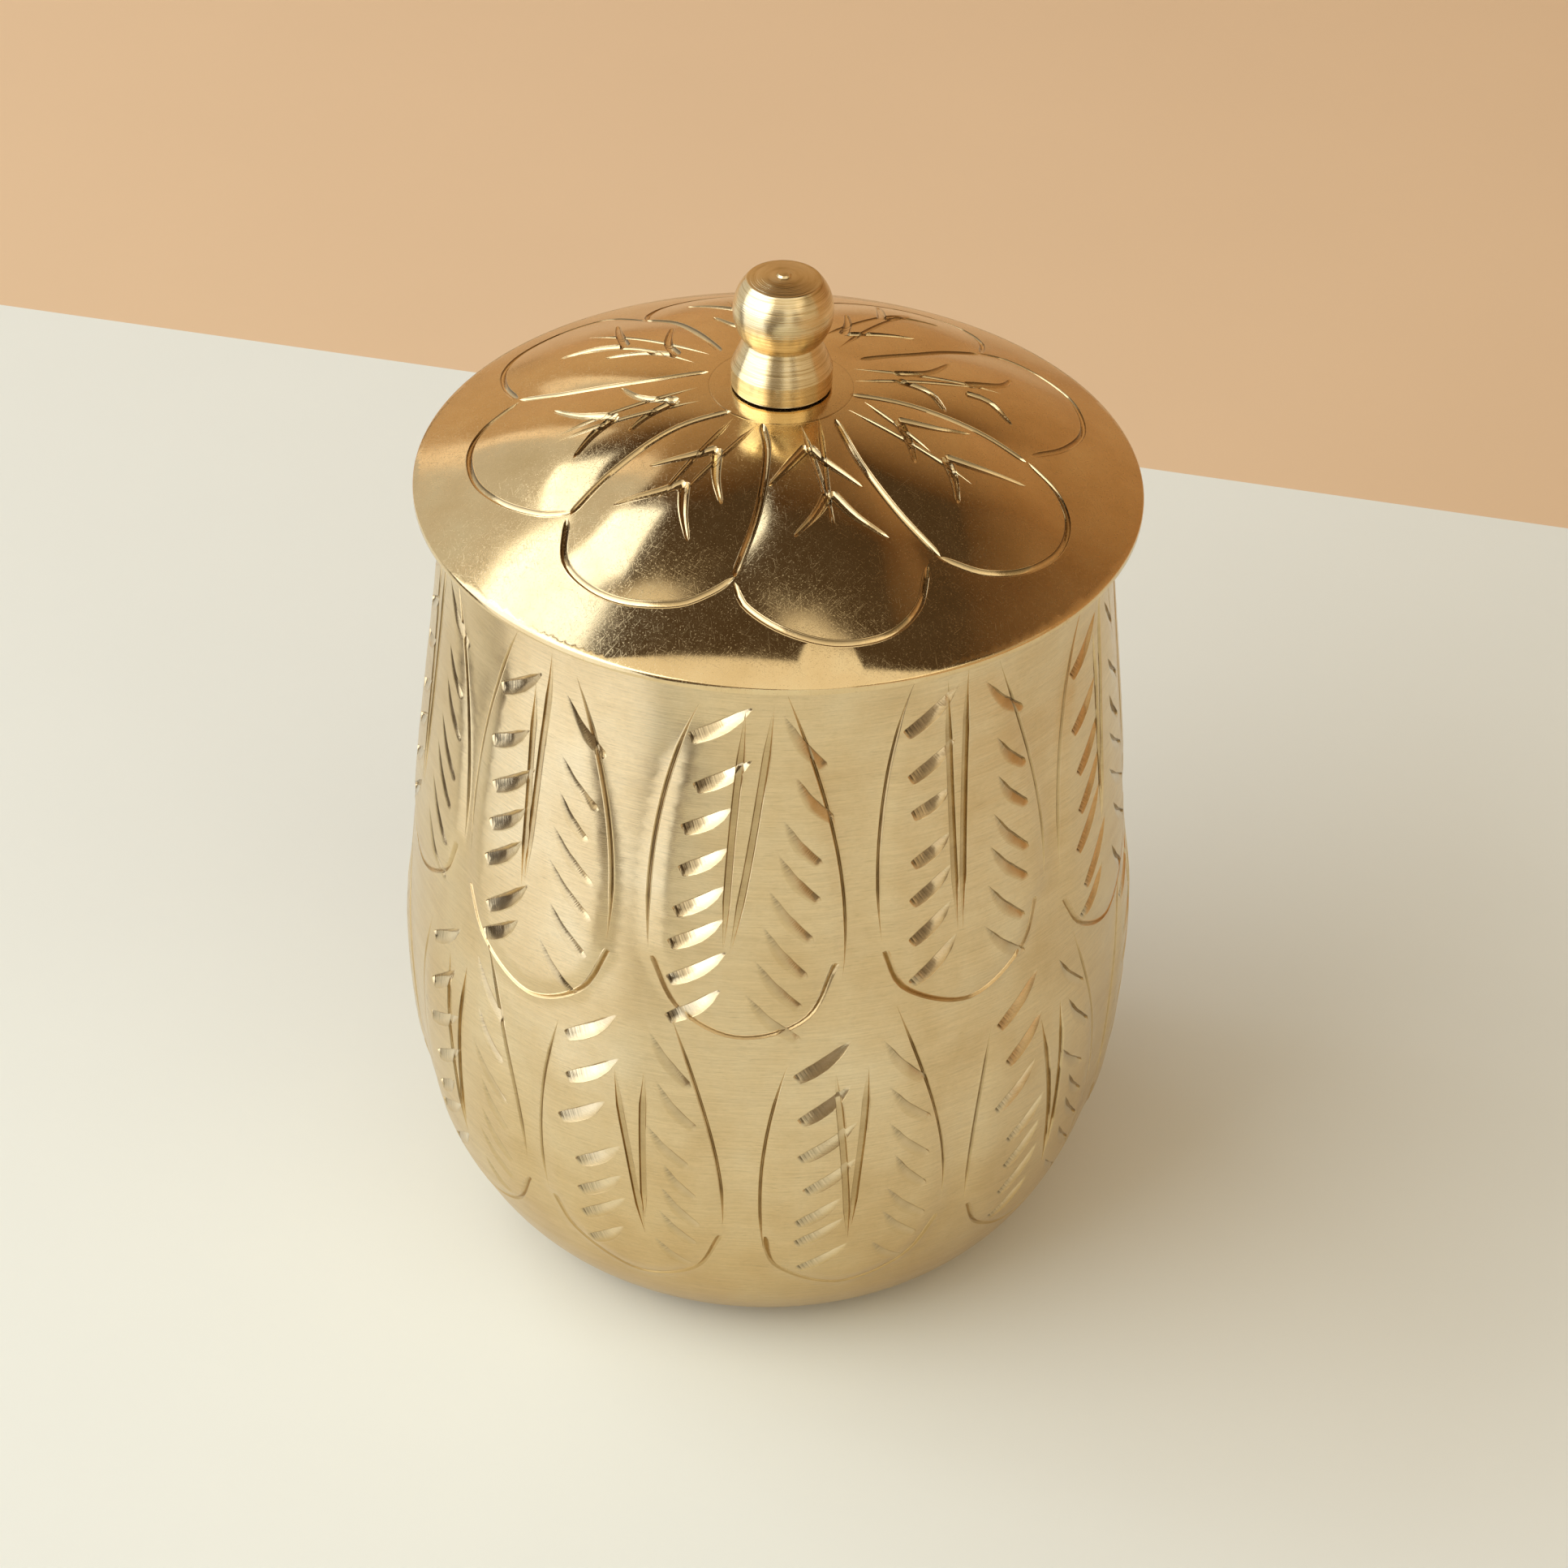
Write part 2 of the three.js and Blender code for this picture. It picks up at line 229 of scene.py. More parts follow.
def cut(path, step, width, depth, section, taper):
    """One cut: its path, half its width and its depth at each point, and the name of its section. The
    path's points are about one step apart, and one lies at each stop of the taper."""
    lengths = lengths_along(path)
    at, widths, depths = TAPERS[taper]
    even = np.linspace(0, 1, max(int(lengths[-1] / step), 3) + 1)
    clear = np.abs(even[:, None] - np.asarray(at)).min(1) > stop_clearance * even[1]
    t = np.sort(np.concatenate([even[clear], at]))
    spaced = np.stack([np.interp(t * lengths[-1], lengths, path[:, axis]) for axis in (0, 1)], 1)
    return spaced, np.interp(t, at, widths) * width / 2, np.interp(t, at, depths) * depth, section


def rails(one_cut):
    """Points on both sides of a cut's path, at each kink of its section: a grid of path by kinks."""
    path, half, _, section = one_cut
    way = np.gradient(path, axis=0)
    way /= np.hypot(*way.T)[:, None]
    side = np.stack([way[:, 1], -way[:, 0]], 1)
    across = half[:, None] * np.asarray(SECTIONS[section][0])
    return path[:, None] + side[:, None] * across[..., None]


def nearest(points, path):
    """For each point, the path's nearest segment, the share along it, and the way from there."""
    start, way = path[:-1], np.diff(path, axis=0)
    gap = points[:, None] - start
    share = np.clip((gap * way).sum(-1) / (way**2).sum(-1), 0, 1)
    gap = gap - share[..., None] * way
    best = (gap**2).sum(-1).argmin(1)
    each = np.arange(len(points))
    return best, share[each, best], gap[each, best], way[best]


def carve(points, cuts):
    """How deep the metal is cut at each point, as the deepest of all cuts there or else the highest
    lip, how dark it is painted there, as tarnish and painted shade, and how far along the deepest cut it
    lies."""
    deepest, lip, tarnish_and_painted_shade, along = np.zeros((4, len(points)))
    for path, half, depth, section in cuts:
        reach = cut_reach * half.max()
        in_reach = (points > path.min(0) - reach) & (points < path.max(0) + reach)
        near = np.flatnonzero(in_reach.all(1))
        if not len(near):
            continue
        across, depths, stains_and_shades = SECTIONS[section]
        segment, share, gap, way = nearest(points[near], path)
        side = (gap[:, 0] * way[:, 1] - gap[:, 1] * way[:, 0]) / np.hypot(*way.T)
        local_half = half[segment] * (1 - share) + half[segment + 1] * share
        local_depth = depth[segment] * (1 - share) + depth[segment + 1] * share
        place = side / np.maximum(local_half, least_half)
        shape = local_depth * np.interp(place, across, depths, left=0, right=0)
        stain_and_shade = local_depth / depth.max() * np.interp(place, across, stains_and_shades, left=0, right=0)
        lengths = lengths_along(path)
        here = lengths[segment] * (1 - share) + lengths[segment + 1] * share
        along[near] = np.where((shape > deepest[near]) | (along[near] == 0), here, along[near])
        deepest[near] = np.maximum(deepest[near], shape)
        lip[near] = np.minimum(lip[near], shape)
        tarnish_and_painted_shade[near] = np.maximum(tarnish_and_painted_shade[near], stain_and_shade)
    return np.where(deepest > 0, deepest, lip), tarnish_and_painted_shade, along


# %% [markdown]
# ## A skin that is fine only where it is cut
#
# An even grid fine enough for a cut half a millimetre wide would need millions of faces. Instead the
# surface is laid out flat, with points along the rails of every cut and a coarse even spread of points
# between them, and a constrained Delaunay triangulation joins them so that no edge crosses a rail.


# %% Skin of a ring-shaped flat pattern
# Points merge within a distance, and count as on a circle within a share of its radius. The tiny
# number keeps an angle short of a full turn, and a division from being one by zero.
full_turn = 2 * math.pi
merge_distance = 1e-6
on_circle_share = 1e-4
tiny = 1e-9


def keep_clear(points, busy, cell):
    """The points that have no busy point within about a cell, found with a grid of marked cells."""
    low = np.minimum(points.min(0), busy.min(0)) - 2 * cell
    shape = (np.ceil((np.maximum(points.max(0), busy.max(0)) - low) / cell) + 3).astype(int)
    marked = np.zeros(shape, bool)
    column, row = ((busy - low) / cell).astype(int).T
    for across in (-1, 0, 1):
        for up in (-1, 0, 1):
            marked[column + across, row + up] = True
    column, row = ((points - low) / cell).astype(int).T
    return points[~marked[column, row]]


def rail_edges(grids):
    """Every rail's points as one list, and the pairs that follow each other along the rails or close
    their ends."""
    points, pairs, start = [], [], 0
    for grid in grids:
        index = np.arange(grid.shape[0] * grid.shape[1]).reshape(grid.shape[:2]) + start
        pairs.append(np.stack([index[:-1].ravel(), index[1:].ravel()], 1))
        for row in (index[0], index[-1]):
            pairs.append(np.stack([row[:-1], row[1:]], 1))
        points.append(grid.reshape(-1, 2))
        start += index.size
    return np.vstack(points), np.vstack(pairs)


def ring_points(radius, columns):
    """Points evenly round a circle, the first at angle zero."""
    angle = np.arange(columns) * full_turn / columns
    return radius * np.stack([np.cos(angle), np.sin(angle)], 1)


def ring_skin(inner, outer, columns_in, columns_out, fixed, pairs, loose):
    """Triangulates the flat ring between two circles. Fixed points keep the edges between their pairs.
    Returns all points, the triangles, and the indices of the inner and the outer circle in order."""
    circles = [ring_points(inner, columns_in), ring_points(outer, columns_out)]
    loops = []
    start = 0
    for circle in circles:
        index = np.arange(len(circle)) + start
        loops.append(np.stack([index, np.roll(index, -1)], 1))
        start += len(circle)
    points = np.vstack([*circles, fixed, loose])
    edges = np.vstack([*loops, pairs + start])
    made = delaunay_2d_cdt(points.tolist(), edges.tolist(), [], 0, merge_distance)
    flat = np.array(made[0], float)[:, :2]
    triangles = np.array(made[2], int)
    distance = np.hypot(*flat.T)
    near = on_circle_share * inner
    on_inner = np.abs(distance - inner) < near
    on_outer = np.abs(distance - outer) < near
    triangles = triangles[~on_inner[triangles].all(1)]
    angle = np.arctan2(flat[:, 1], flat[:, 0]) % (full_turn - tiny)
    order = [ring[np.argsort(angle[ring])] for ring in (np.flatnonzero(on_inner), np.flatnonzero(on_outer))]
    return flat, triangles, order[0], order[1]


# %% [markdown]
# ## Joining the skin to turned rows, and making the mesh
#
# The rest of each sheet-metal piece, such as its edge and inside, is plain turned metal. It is a stack
# of rows that start from a ring of the skin, so that skin and rows share their points and the piece is
# one closed mesh.


# %% Mesh helpers
class Build:
    """Gathers points and faces of one piece, in millimetres."""

    def __init__(self):
        self.points, self.faces, self.count = [], [], 0

    def add(self, points):
        """Adds points and returns their indices."""
        index = np.arange(len(points)) + self.count
        self.points.append(np.asarray(points, float))
        self.count += len(points)
        return index

    def strip(self, lower, upper, flip=False):
        """Quads between two rings of indices of equal length."""
        after_lower, after_upper = np.roll(lower, -1), np.roll(upper, -1)
        quads = np.stack([lower, upper, after_upper, after_lower], 1)
        self.faces += (quads[:, ::-1] if flip else quads).tolist()

    def pole(self, ring, point, flip=False):
        """Closes a ring of indices with a fan to one point."""
        tip = self.add([point])[0]
        fan = np.stack([ring, np.full(len(ring), tip), np.roll(ring, -1)], 1)
        self.faces += (fan[:, ::-1] if flip else fan).tolist()

    def turn(self, ring, profile, flip=False):
        """Rows turned from a profile of radius and height, which start from a ring of indices. A
        profile that ends on the axis is closed with a fan."""
        columns = len(ring)
        unit = ring_points(1, columns)
        for radius, height in profile:
            if radius == 0:
                self.pole(ring, (0, 0, height), flip)
                return None
            row = self.add(np.column_stack([unit * radius, np.full(columns, height)]))
            self.strip(ring, row, flip)
            ring = row
        return ring


def srgb(code):
    """Linear colour of an sRGB hex value: c/12.92 below 0.04045, else ((c+0.055)/1.055)^2.4."""
    c = np.array([int(code[i : i + 2], 16) for i in (1, 3, 5)]) / 255
    linear = np.where(c < 0.04045, c / 12.92, ((c + 0.055) / 1.055) ** 2.4)
    return (*linear.tolist(), 1.0)


def finish_piece(build, name, body, node, material, crease=30, shares=None, normals=None):
    """Makes the object in metres, smooth but for edges sharper than the crease, and puts it on its
    body, in place of its solid. The shares become named attributes. Given normals bend the shading of
    the faces whose points all have one that isn't zero, so cuts keep their crisp edges."""
    points = np.vstack(build.points)
    mesh = bpy.data.meshes.new(name)
    mesh.from_pydata((points * MM).tolist(), [], build.faces)
    mesh.validate()
    mesh.polygons.foreach_set("use_smooth", np.ones(len(mesh.polygons), bool))
    mesh.set_sharp_from_angle(angle=math.radians(crease))
    for key, share in (shares or {}).items():
        layer = mesh.attributes.new(key, "FLOAT", "POINT")
        layer.data.foreach_set("value", np.pad(np.clip(share, 0, 1), (0, len(points) - len(share))))
    if normals is not None:
        start, total = np.zeros((2, len(mesh.polygons)), np.int32)
        corner = np.zeros(len(mesh.loops), np.int32)
        mesh.polygons.foreach_get("loop_start", start)
        mesh.polygons.foreach_get("loop_total", total)
        mesh.loops.foreach_get("vertex_index", corner)
        bent = np.pad(normals, ((0, len(points) - len(normals)), (0, 0)))[corner]
        whole = np.add.reduceat(bent.any(1), start, dtype=int) == total
        mesh.normals_split_custom_set((bent * np.repeat(whole, total)[:, None]).tolist())
    mesh.materials.append(material)
    piece = bpy.data.objects.new(name, mesh)
    bpy.context.collection.objects.link(piece)
    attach(piece, body)
    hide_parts(node)
    mesh.calc_loop_triangles()
    corners = np.zeros(3 * len(mesh.loop_triangles), np.int32)
    mesh.loop_triangles.foreach_get("vertices", corners)
    a, b, c = points[corners.reshape(-1, 3)].transpose(1, 0, 2)
    cubic_mm = (a * np.cross(b, c)).sum() / 6
    print(name, len(a), "triangles,", round(cubic_mm / 1000, 2), "cm3, up to", points.max(0).round(2))
    return piece


# %% [markdown]
# ## Materials
#
# All the sheet and the knob are one metal: aluminium coloured pale gold. Only the way each surface was
# made differs. The cup was brushed to a satin, the lid was polished and then handled, and the knob came
# off a lathe. For a metal the base colour is what it reflects straight on, so the three start from
# nearly the same gold and differ in roughness and in the direction of their fine marks. The patterns
# read Object coordinates, which are metres here, so a scale of 1/0.002 means a feature of 2 mm.


# %% Node helper
def add(tree, kind, inputs=None, stops=(), **settings):
    """Adds one node with its settings. An input is a plain value or the socket that feeds it. A stop
    is a colour ramp's place with an sRGB hex colour or a grey level."""
    node = tree.nodes.new(kind)
    for key, value in settings.items():
        setattr(node, key, value)
    for key, value in (inputs or {}).items():
        if isinstance(value, bpy.types.NodeSocket):
            tree.links.new(value, node.inputs[key])
        else:
            node.inputs[key].default_value = value
    for place, colour in stops[2:]:
        node.color_ramp.elements.new(place)
    for element, (place, colour) in zip(node.color_ramp.elements if stops else (), stops):
        element.position = place
        element.color = srgb(colour) if isinstance(colour, str) else (colour, colour, colour, 1)
    return node


def new_material(name, **shader):
    """A material with one Principled shader, whose sockets named here take constant values."""
    material = bpy.data.materials.new(name)
    material.use_nodes = True
    surface = material.node_tree.nodes["Principled BSDF"]
    for key, value in shader.items():
        surface.inputs[key.replace("_", " ")].default_value = value
    return material, material.node_tree, surface


def marks(tree, place, sizes_mm, **settings):
    """Noise whose features have the given sizes, in mm, along X, Y and Z of the object."""
    scale = tuple(1 / (size * MM) for size in sizes_mm)
    stretched = add(tree, "ShaderNodeMapping", {"Vector": place, "Scale": scale})
    detail = {"Vector": stretched.outputs["Vector"], "Scale": 1.0, **settings}
    return add(tree, "ShaderNodeTexNoise", detail).outputs["Fac"]


# %% [markdown]
# ### Satin-brushed gold-coloured aluminium
#
# The cup turned on a lathe while an abrasive pad was held to it, which leaves hair-fine marks that run
# round it. They are about 0.05 mm apart, too fine to show, so they are drawn about 0.2 mm apart. Noise
# stretched 7 mm in X and Y but only 0.2 mm in Z gives lines that run round a standing jar without any
# seam. A cloudy noise dulls the colour where hands and air have reached the metal. The foot of the wall
# is painted darker and warmer: painted shade for the shaded floor round the foot, which it mirrors.
#
# The mesh stores three things for each point: how dark the cut is painted, which is tarnish in its
# hollows and painted shade along its steep walls and edges, how far it is a chisel facet, whose colour is
# painted paler as a painted highlight, and how far along its cut it lies. A little of that darkening reads
# as olive gold and much as nearly black. It has worn off in patches and stays best high on the wall. The
# chisel chatters as it bites, so each facet starts with fine dark lines across it.


# %% Satin-brushed aluminium
def satin_aluminium():
    material, tree, surface = new_material(
        "satin_brushed_gold_aluminium", Metallic=1.0, Anisotropic=0.6, Anisotropic_Rotation=0.25
    )
    place = add(tree, "ShaderNodeTexCoord").outputs["Object"]
    tilted = add(tree, "ShaderNodeMapping", {"Vector": place, "Rotation": (0.03, 0.02, 0)}).outputs["Vector"]
    brushed = marks(tree, tilted, (7, 7, 0.2), Detail=4.0, Roughness=0.65)
    hairs = marks(tree, tilted, (1.8, 1.8, 0.14), Detail=2.0)
    bands = marks(tree, tilted, (30, 30, 1.6), Detail=2.0)
    grain = marks(tree, place, (0.5, 0.5, 0.35), Detail=3.0, Roughness=0.75)
    clouds = marks(tree, place, (14, 14, 18), Detail=5.0, Roughness=0.6)
    level = add(tree, "ShaderNodeSeparateXYZ", {"Vector": place}).outputs["Z"]
    # Painted shade: the wall is painted darker and warmer towards its foot, for the shaded floor that it
    # mirrors.
    low = add(tree, "ShaderNodeMapRange", {"Value": level, "From Min": 2 * MM, "From Max": 45 * MM})
    stored = ("tarnish_and_painted_shade", "facet", "along")
    tarnish_and_painted_shade, facet, along = (
        add(tree, "ShaderNodeAttribute", attribute_name=name).outputs["Fac"] for name in stored
    )
    golds = ((0.3, "#DDC293"), (0.5, "#E6CEA2"), (0.7, "#ECD8B0"))
    colour = add(tree, "ShaderNodeValToRGB", {"Fac": clouds}, stops=golds).outputs["Color"]
    for value, *stops in (
        (low.outputs["Result"], (0.0, "#E0D2AE"), (1.0, "#FFFFFF")),
        (brushed, (0.3, 0.86), (0.65, 1.0)),
        (grain, (0.38, 0.95), (0.56, 1.0)),
        (hairs, (0.58, 1.0), (0.75, 0.82)),
    ):
        shade = add(tree, "ShaderNodeValToRGB", {"Fac": value}, stops=stops).outputs["Color"]
        layer = {"Factor": 1.0, "A": colour, "B": shade}
        colour = add(tree, "ShaderNodeMix", layer, data_type="RGBA", blend_type="MULTIPLY").outputs["Result"]
    patches = marks(tree, place, (3, 3, 5), Detail=3.0)
    worn = {"Value": patches, "From Min": 0.35, "From Max": 0.6, "To Min": 0.8}
    kept = add(tree, "ShaderNodeMapRange", worn).outputs["Result"]
    upwards = {"Value": level, "From Min": 30 * MM, "From Max": 75 * MM, "To Min": 0.9}
    height = add(tree, "ShaderNodeMapRange", upwards).outputs["Result"]
    # Painted highlight: the chisel facets are painted paler, so that they look bright.
    painted_facet_highlight = add(tree, "ShaderNodeMath", {0: facet, 1: 0.4}, operation="MULTIPLY").outputs["Value"]
    layer = {"Factor": painted_facet_highlight, "A": colour, "B": srgb("#F8EACB")}
    colour = add(tree, "ShaderNodeMix", layer, data_type="RGBA").outputs["Result"]
    line = add(tree, "ShaderNodeCombineXYZ", {"X": along}).outputs["Vector"]
    chatter = marks(tree, line, (0.28, 1, 1), Detail=2.0)
    early = {"Value": along, "To Min": 1.0, "To Max": 0.0, "From Max": 5 * MM}
    bite = add(tree, "ShaderNodeMapRange", early).outputs["Result"]
    crossed = {"Value": chatter, "From Min": 0.4, "From Max": 0.6, "To Min": 0.25}
    lines = add(tree, "ShaderNodeMapRange", crossed).outputs["Result"]
    for part in (facet, lines, height):
        bite = add(tree, "ShaderNodeMath", {0: bite, 1: part}, operation="MULTIPLY").outputs["Value"]
    for part in (kept, height):
        tarnish_and_painted_shade = add(tree, "ShaderNodeMath", {0: tarnish_and_painted_shade, 1: part}, operation="MULTIPLY").outputs["Value"]
    # The cuts are painted dark: tarnish in their hollows, and painted shade along their steep walls and
    # edges.
    spread = {"Value": tarnish_and_painted_shade, "From Min": 0.08, "From Max": 0.9, "To Max": 0.92}
    stain_and_shade = add(tree, "ShaderNodeMapRange", spread).outputs["Result"]
    browns = ((0.3, "#AE8E50"), (0.6, "#7E6030"), (1.0, "#3E2C12"))
    brown = add(tree, "ShaderNodeValToRGB", {"Fac": tarnish_and_painted_shade}, stops=browns).outputs["Color"]
    for amount, shade in ((stain_and_shade, brown), (bite, srgb("#503E20"))):
        layer = {"Factor": amount, "A": colour, "B": shade}
        colour = add(tree, "ShaderNodeMix", layer, data_type="RGBA").outputs["Result"]
    tree.links.new(colour, surface.inputs["Base Color"])
    banded = {"Value": bands, "From Min": 0.3, "From Max": 0.7, "To Min": 0.2, "To Max": 0.27}
    rough = add(tree, "ShaderNodeMapRange", banded).outputs["Result"]
    layer = {"Factor": facet, "A": rough, "B": 0.15}
    bright = add(tree, "ShaderNodeMix", layer, data_type="FLOAT").outputs["Result"]
    tree.links.new(bright, surface.inputs["Roughness"])
    keep = add(tree, "ShaderNodeMapRange", {"Value": facet, "To Min": 1.0, "To Max": 0.15})
    fine = {"Height": brushed, "Distance": 0.01 * MM, "Strength": keep.outputs["Result"]}
    bump = add(tree, "ShaderNodeBump", fine).outputs["Normal"]
    ripple = {"Height": chatter, "Distance": 0.012 * MM, "Strength": facet, "Normal": bump}
    rippled = add(tree, "ShaderNodeBump", ripple).outputs["Normal"]
    tree.links.new(rippled, surface.inputs["Normal"])
    return material


# %% [markdown]
# ### Polished gold-coloured aluminium
#
# The lid was buffed bright, so it shows sharp pictures of the room. Years of wiping have left fine
# scratches that cross in all directions, and small dull flecks. Both scatter light: they look pale where
# the metal mirrors something dark, and dark where it mirrors a lamp. Two noises, each stretched along
# another direction, give the scratches. Real ones are about 0.02 mm wide, so they are drawn coarser, at
# 0.1 mm, and the flecks at 0.24 mm. A cellular pattern adds dark specks, and the strokes are painted
# dark: tarnish on their floors, and painted shade along their edges.


# %% Polished aluminium
def polished_aluminium():
    material, tree, surface = new_material("polished_gold_aluminium", Metallic=1.0)
    place = add(tree, "ShaderNodeTexCoord").outputs["Object"]
    clouds = marks(tree, place, (9, 9, 9), Detail=5.0, Roughness=0.65)
    golds = ((0.3, "#DCC292"), (0.5, "#E5CC9E"), (0.7, "#E9D4A8"))
    colour = add(tree, "ShaderNodeValToRGB", {"Fac": clouds}, stops=golds).outputs["Color"]
    cells = {"Vector": place, "Scale": 1 / (0.55 * MM)}
    specks = add(tree, "ShaderNodeTexVoronoi", cells, feature="F1").outputs["Distance"]
    greys = ((0.07, 0.62), (0.16, 1.0))
    dot = add(tree, "ShaderNodeValToRGB", {"Fac": specks}, stops=greys).outputs["Color"]
    layer = {"Factor": 0.6, "A": colour, "B": dot}
    colour = add(tree, "ShaderNodeMix", layer, data_type="RGBA", blend_type="MULTIPLY").outputs["Result"]
    # The strokes are painted dark: tarnish on their floors, and painted shade along their edges.
    tarnish_and_painted_shade = add(tree, "ShaderNodeAttribute", attribute_name="tarnish_and_painted_shade").outputs["Fac"]
    spread = {"Value": tarnish_and_painted_shade, "From Min": 0.15, "From Max": 0.9, "To Max": 0.9}
    dark = add(tree, "ShaderNodeMapRange", spread).outputs["Result"]
    layer = {"Factor": dark, "A": colour, "B": srgb("#3A2810")}
    colour = add(tree, "ShaderNodeMix", layer, data_type="RGBA").outputs["Result"]
    tree.links.new(colour, surface.inputs["Base Color"])
    flecks = marks(tree, place, (0.24, 0.24, 0.24), Detail=2.0, Roughness=0.6)
    marked = {"Value": flecks, "From Min": 0.57, "From Max": 0.7}
    wear = add(tree, "ShaderNodeMapRange", marked).outputs["Result"]
    for turn in (0.5, 1.4, 2.3):
        turned = add(tree, "ShaderNodeMapping", {"Vector": place, "Rotation": (0, 0, turn)})
        scratches = marks(tree, turned.outputs["Vector"], (2.5, 0.1, 2.5), Detail=2.0)
        lines = add(tree, "ShaderNodeMapRange", {"Value": scratches, "From Min": 0.62, "From Max": 0.76})
        both = {0: wear, 1: lines.outputs["Result"]}
        wear = add(tree, "ShaderNodeMath", both, operation="MAXIMUM").outputs["Value"]
    haze = marks(tree, place, (4, 4, 4), Detail=5.0, Roughness=0.7)
    hazy = {"Value": haze, "From Min": 0.3, "From Max": 0.7, "To Min": 0.09, "To Max": 0.15}
    smooth = add(tree, "ShaderNodeMapRange", hazy).outputs["Result"]
    layer = {"Factor": wear, "A": smooth, "B": 0.34}
    rough = add(tree, "ShaderNodeMix", layer, data_type="FLOAT").outputs["Result"]
    tree.links.new(rough, surface.inputs["Roughness"])
    bump = add(tree, "ShaderNodeBump", {"Height": wear, "Distance": 0.0015 * MM, "Strength": 1.0})
    tree.links.new(bump.outputs["Normal"], surface.inputs["Normal"])
    return material


# %% [markdown]
# ### Turned gold-coloured aluminium
#
# The knob was cut on a lathe and left as it came off the tool. The deeper tool rings are in its mesh.
# Its finer rings are noise that changes along Z and hardly in X and Y, drawn at 0.25 mm. Grooves that
# run round a piece spread its highlights along the axis, which the anisotropy gives.


# %% Turned aluminium
def turned_aluminium():
    material, tree, surface = new_material(
        "turned_gold_aluminium", Metallic=1.0, Roughness=0.25, Anisotropic=0.6, Anisotropic_Rotation=0.25
    )
    place = add(tree, "ShaderNodeTexCoord").outputs["Object"]
    rings = marks(tree, place, (10, 10, 0.25), Detail=4.0, Roughness=0.7)
    golds = ((0.3, "#BFA676"), (0.45, "#E2CDA0"), (0.65, "#F1E0BA"))
    colour = add(tree, "ShaderNodeValToRGB", {"Fac": rings}, stops=golds).outputs["Color"]
    tree.links.new(colour, surface.inputs["Base Color"])
    bump = add(tree, "ShaderNodeBump", {"Height": rings, "Distance": 0.02 * MM, "Strength": 1.0})
    tree.links.new(bump.outputs["Normal"], surface.inputs["Normal"])
    return material


# %% [markdown]
# ### Zinc-plated steel
#
# The screw and washer inside the lid are bought hardware: steel with a thin zinc plate, grey and a
# little blotchy, duller than the aluminium.


# %% Zinc-plated steel
def plated_steel():
    material, tree, surface = new_material("zinc_plated_steel", Metallic=1.0, Roughness=0.34)
    place = add(tree, "ShaderNodeTexCoord").outputs["Object"]
    blotches = marks(tree, place, (1.4, 1.4, 1.4), Detail=5.0, Roughness=0.6)
    greys = ((0.35, "#A9ACAF"), (0.65, "#C6C8C9"))
    colour = add(tree, "ShaderNodeValToRGB", {"Fac": blotches}, stops=greys).outputs["Color"]
    tree.links.new(colour, surface.inputs["Base Color"])
    bump = add(tree, "ShaderNodeBump", {"Height": blotches, "Distance": 0.02 * MM, "Strength": 0.5})
    tree.links.new(bump.outputs["Normal"], surface.inputs["Normal"])
    return material


SATIN = satin_aluminium()
POLISHED = polished_aluminium()
TURNED = turned_aluminium()
PLATED = plated_steel()
print("materials:", [m.name for m in bpy.data.materials if m.name.endswith(("aluminium", "steel"))])

# %% [markdown]
# ## The leaves on the cup
#
# Two rows of ten leaves go round the cup, the lower row half a step on. Each leaf was cut freehand: a
# long stroke down each side, a bowl-shaped stroke below, two ribs that close in on each other, and a
# ladder of chisel cuts on each side of them. Five leaves are drawn one by one, since no two are alike,
# and the rest repeat them in turn with small seeded changes.
#
# A leaf is drawn in its own frame: millimetres to the right of its middle line, measured on a circle of
# 50 mm, and millimetres down from its row's line.

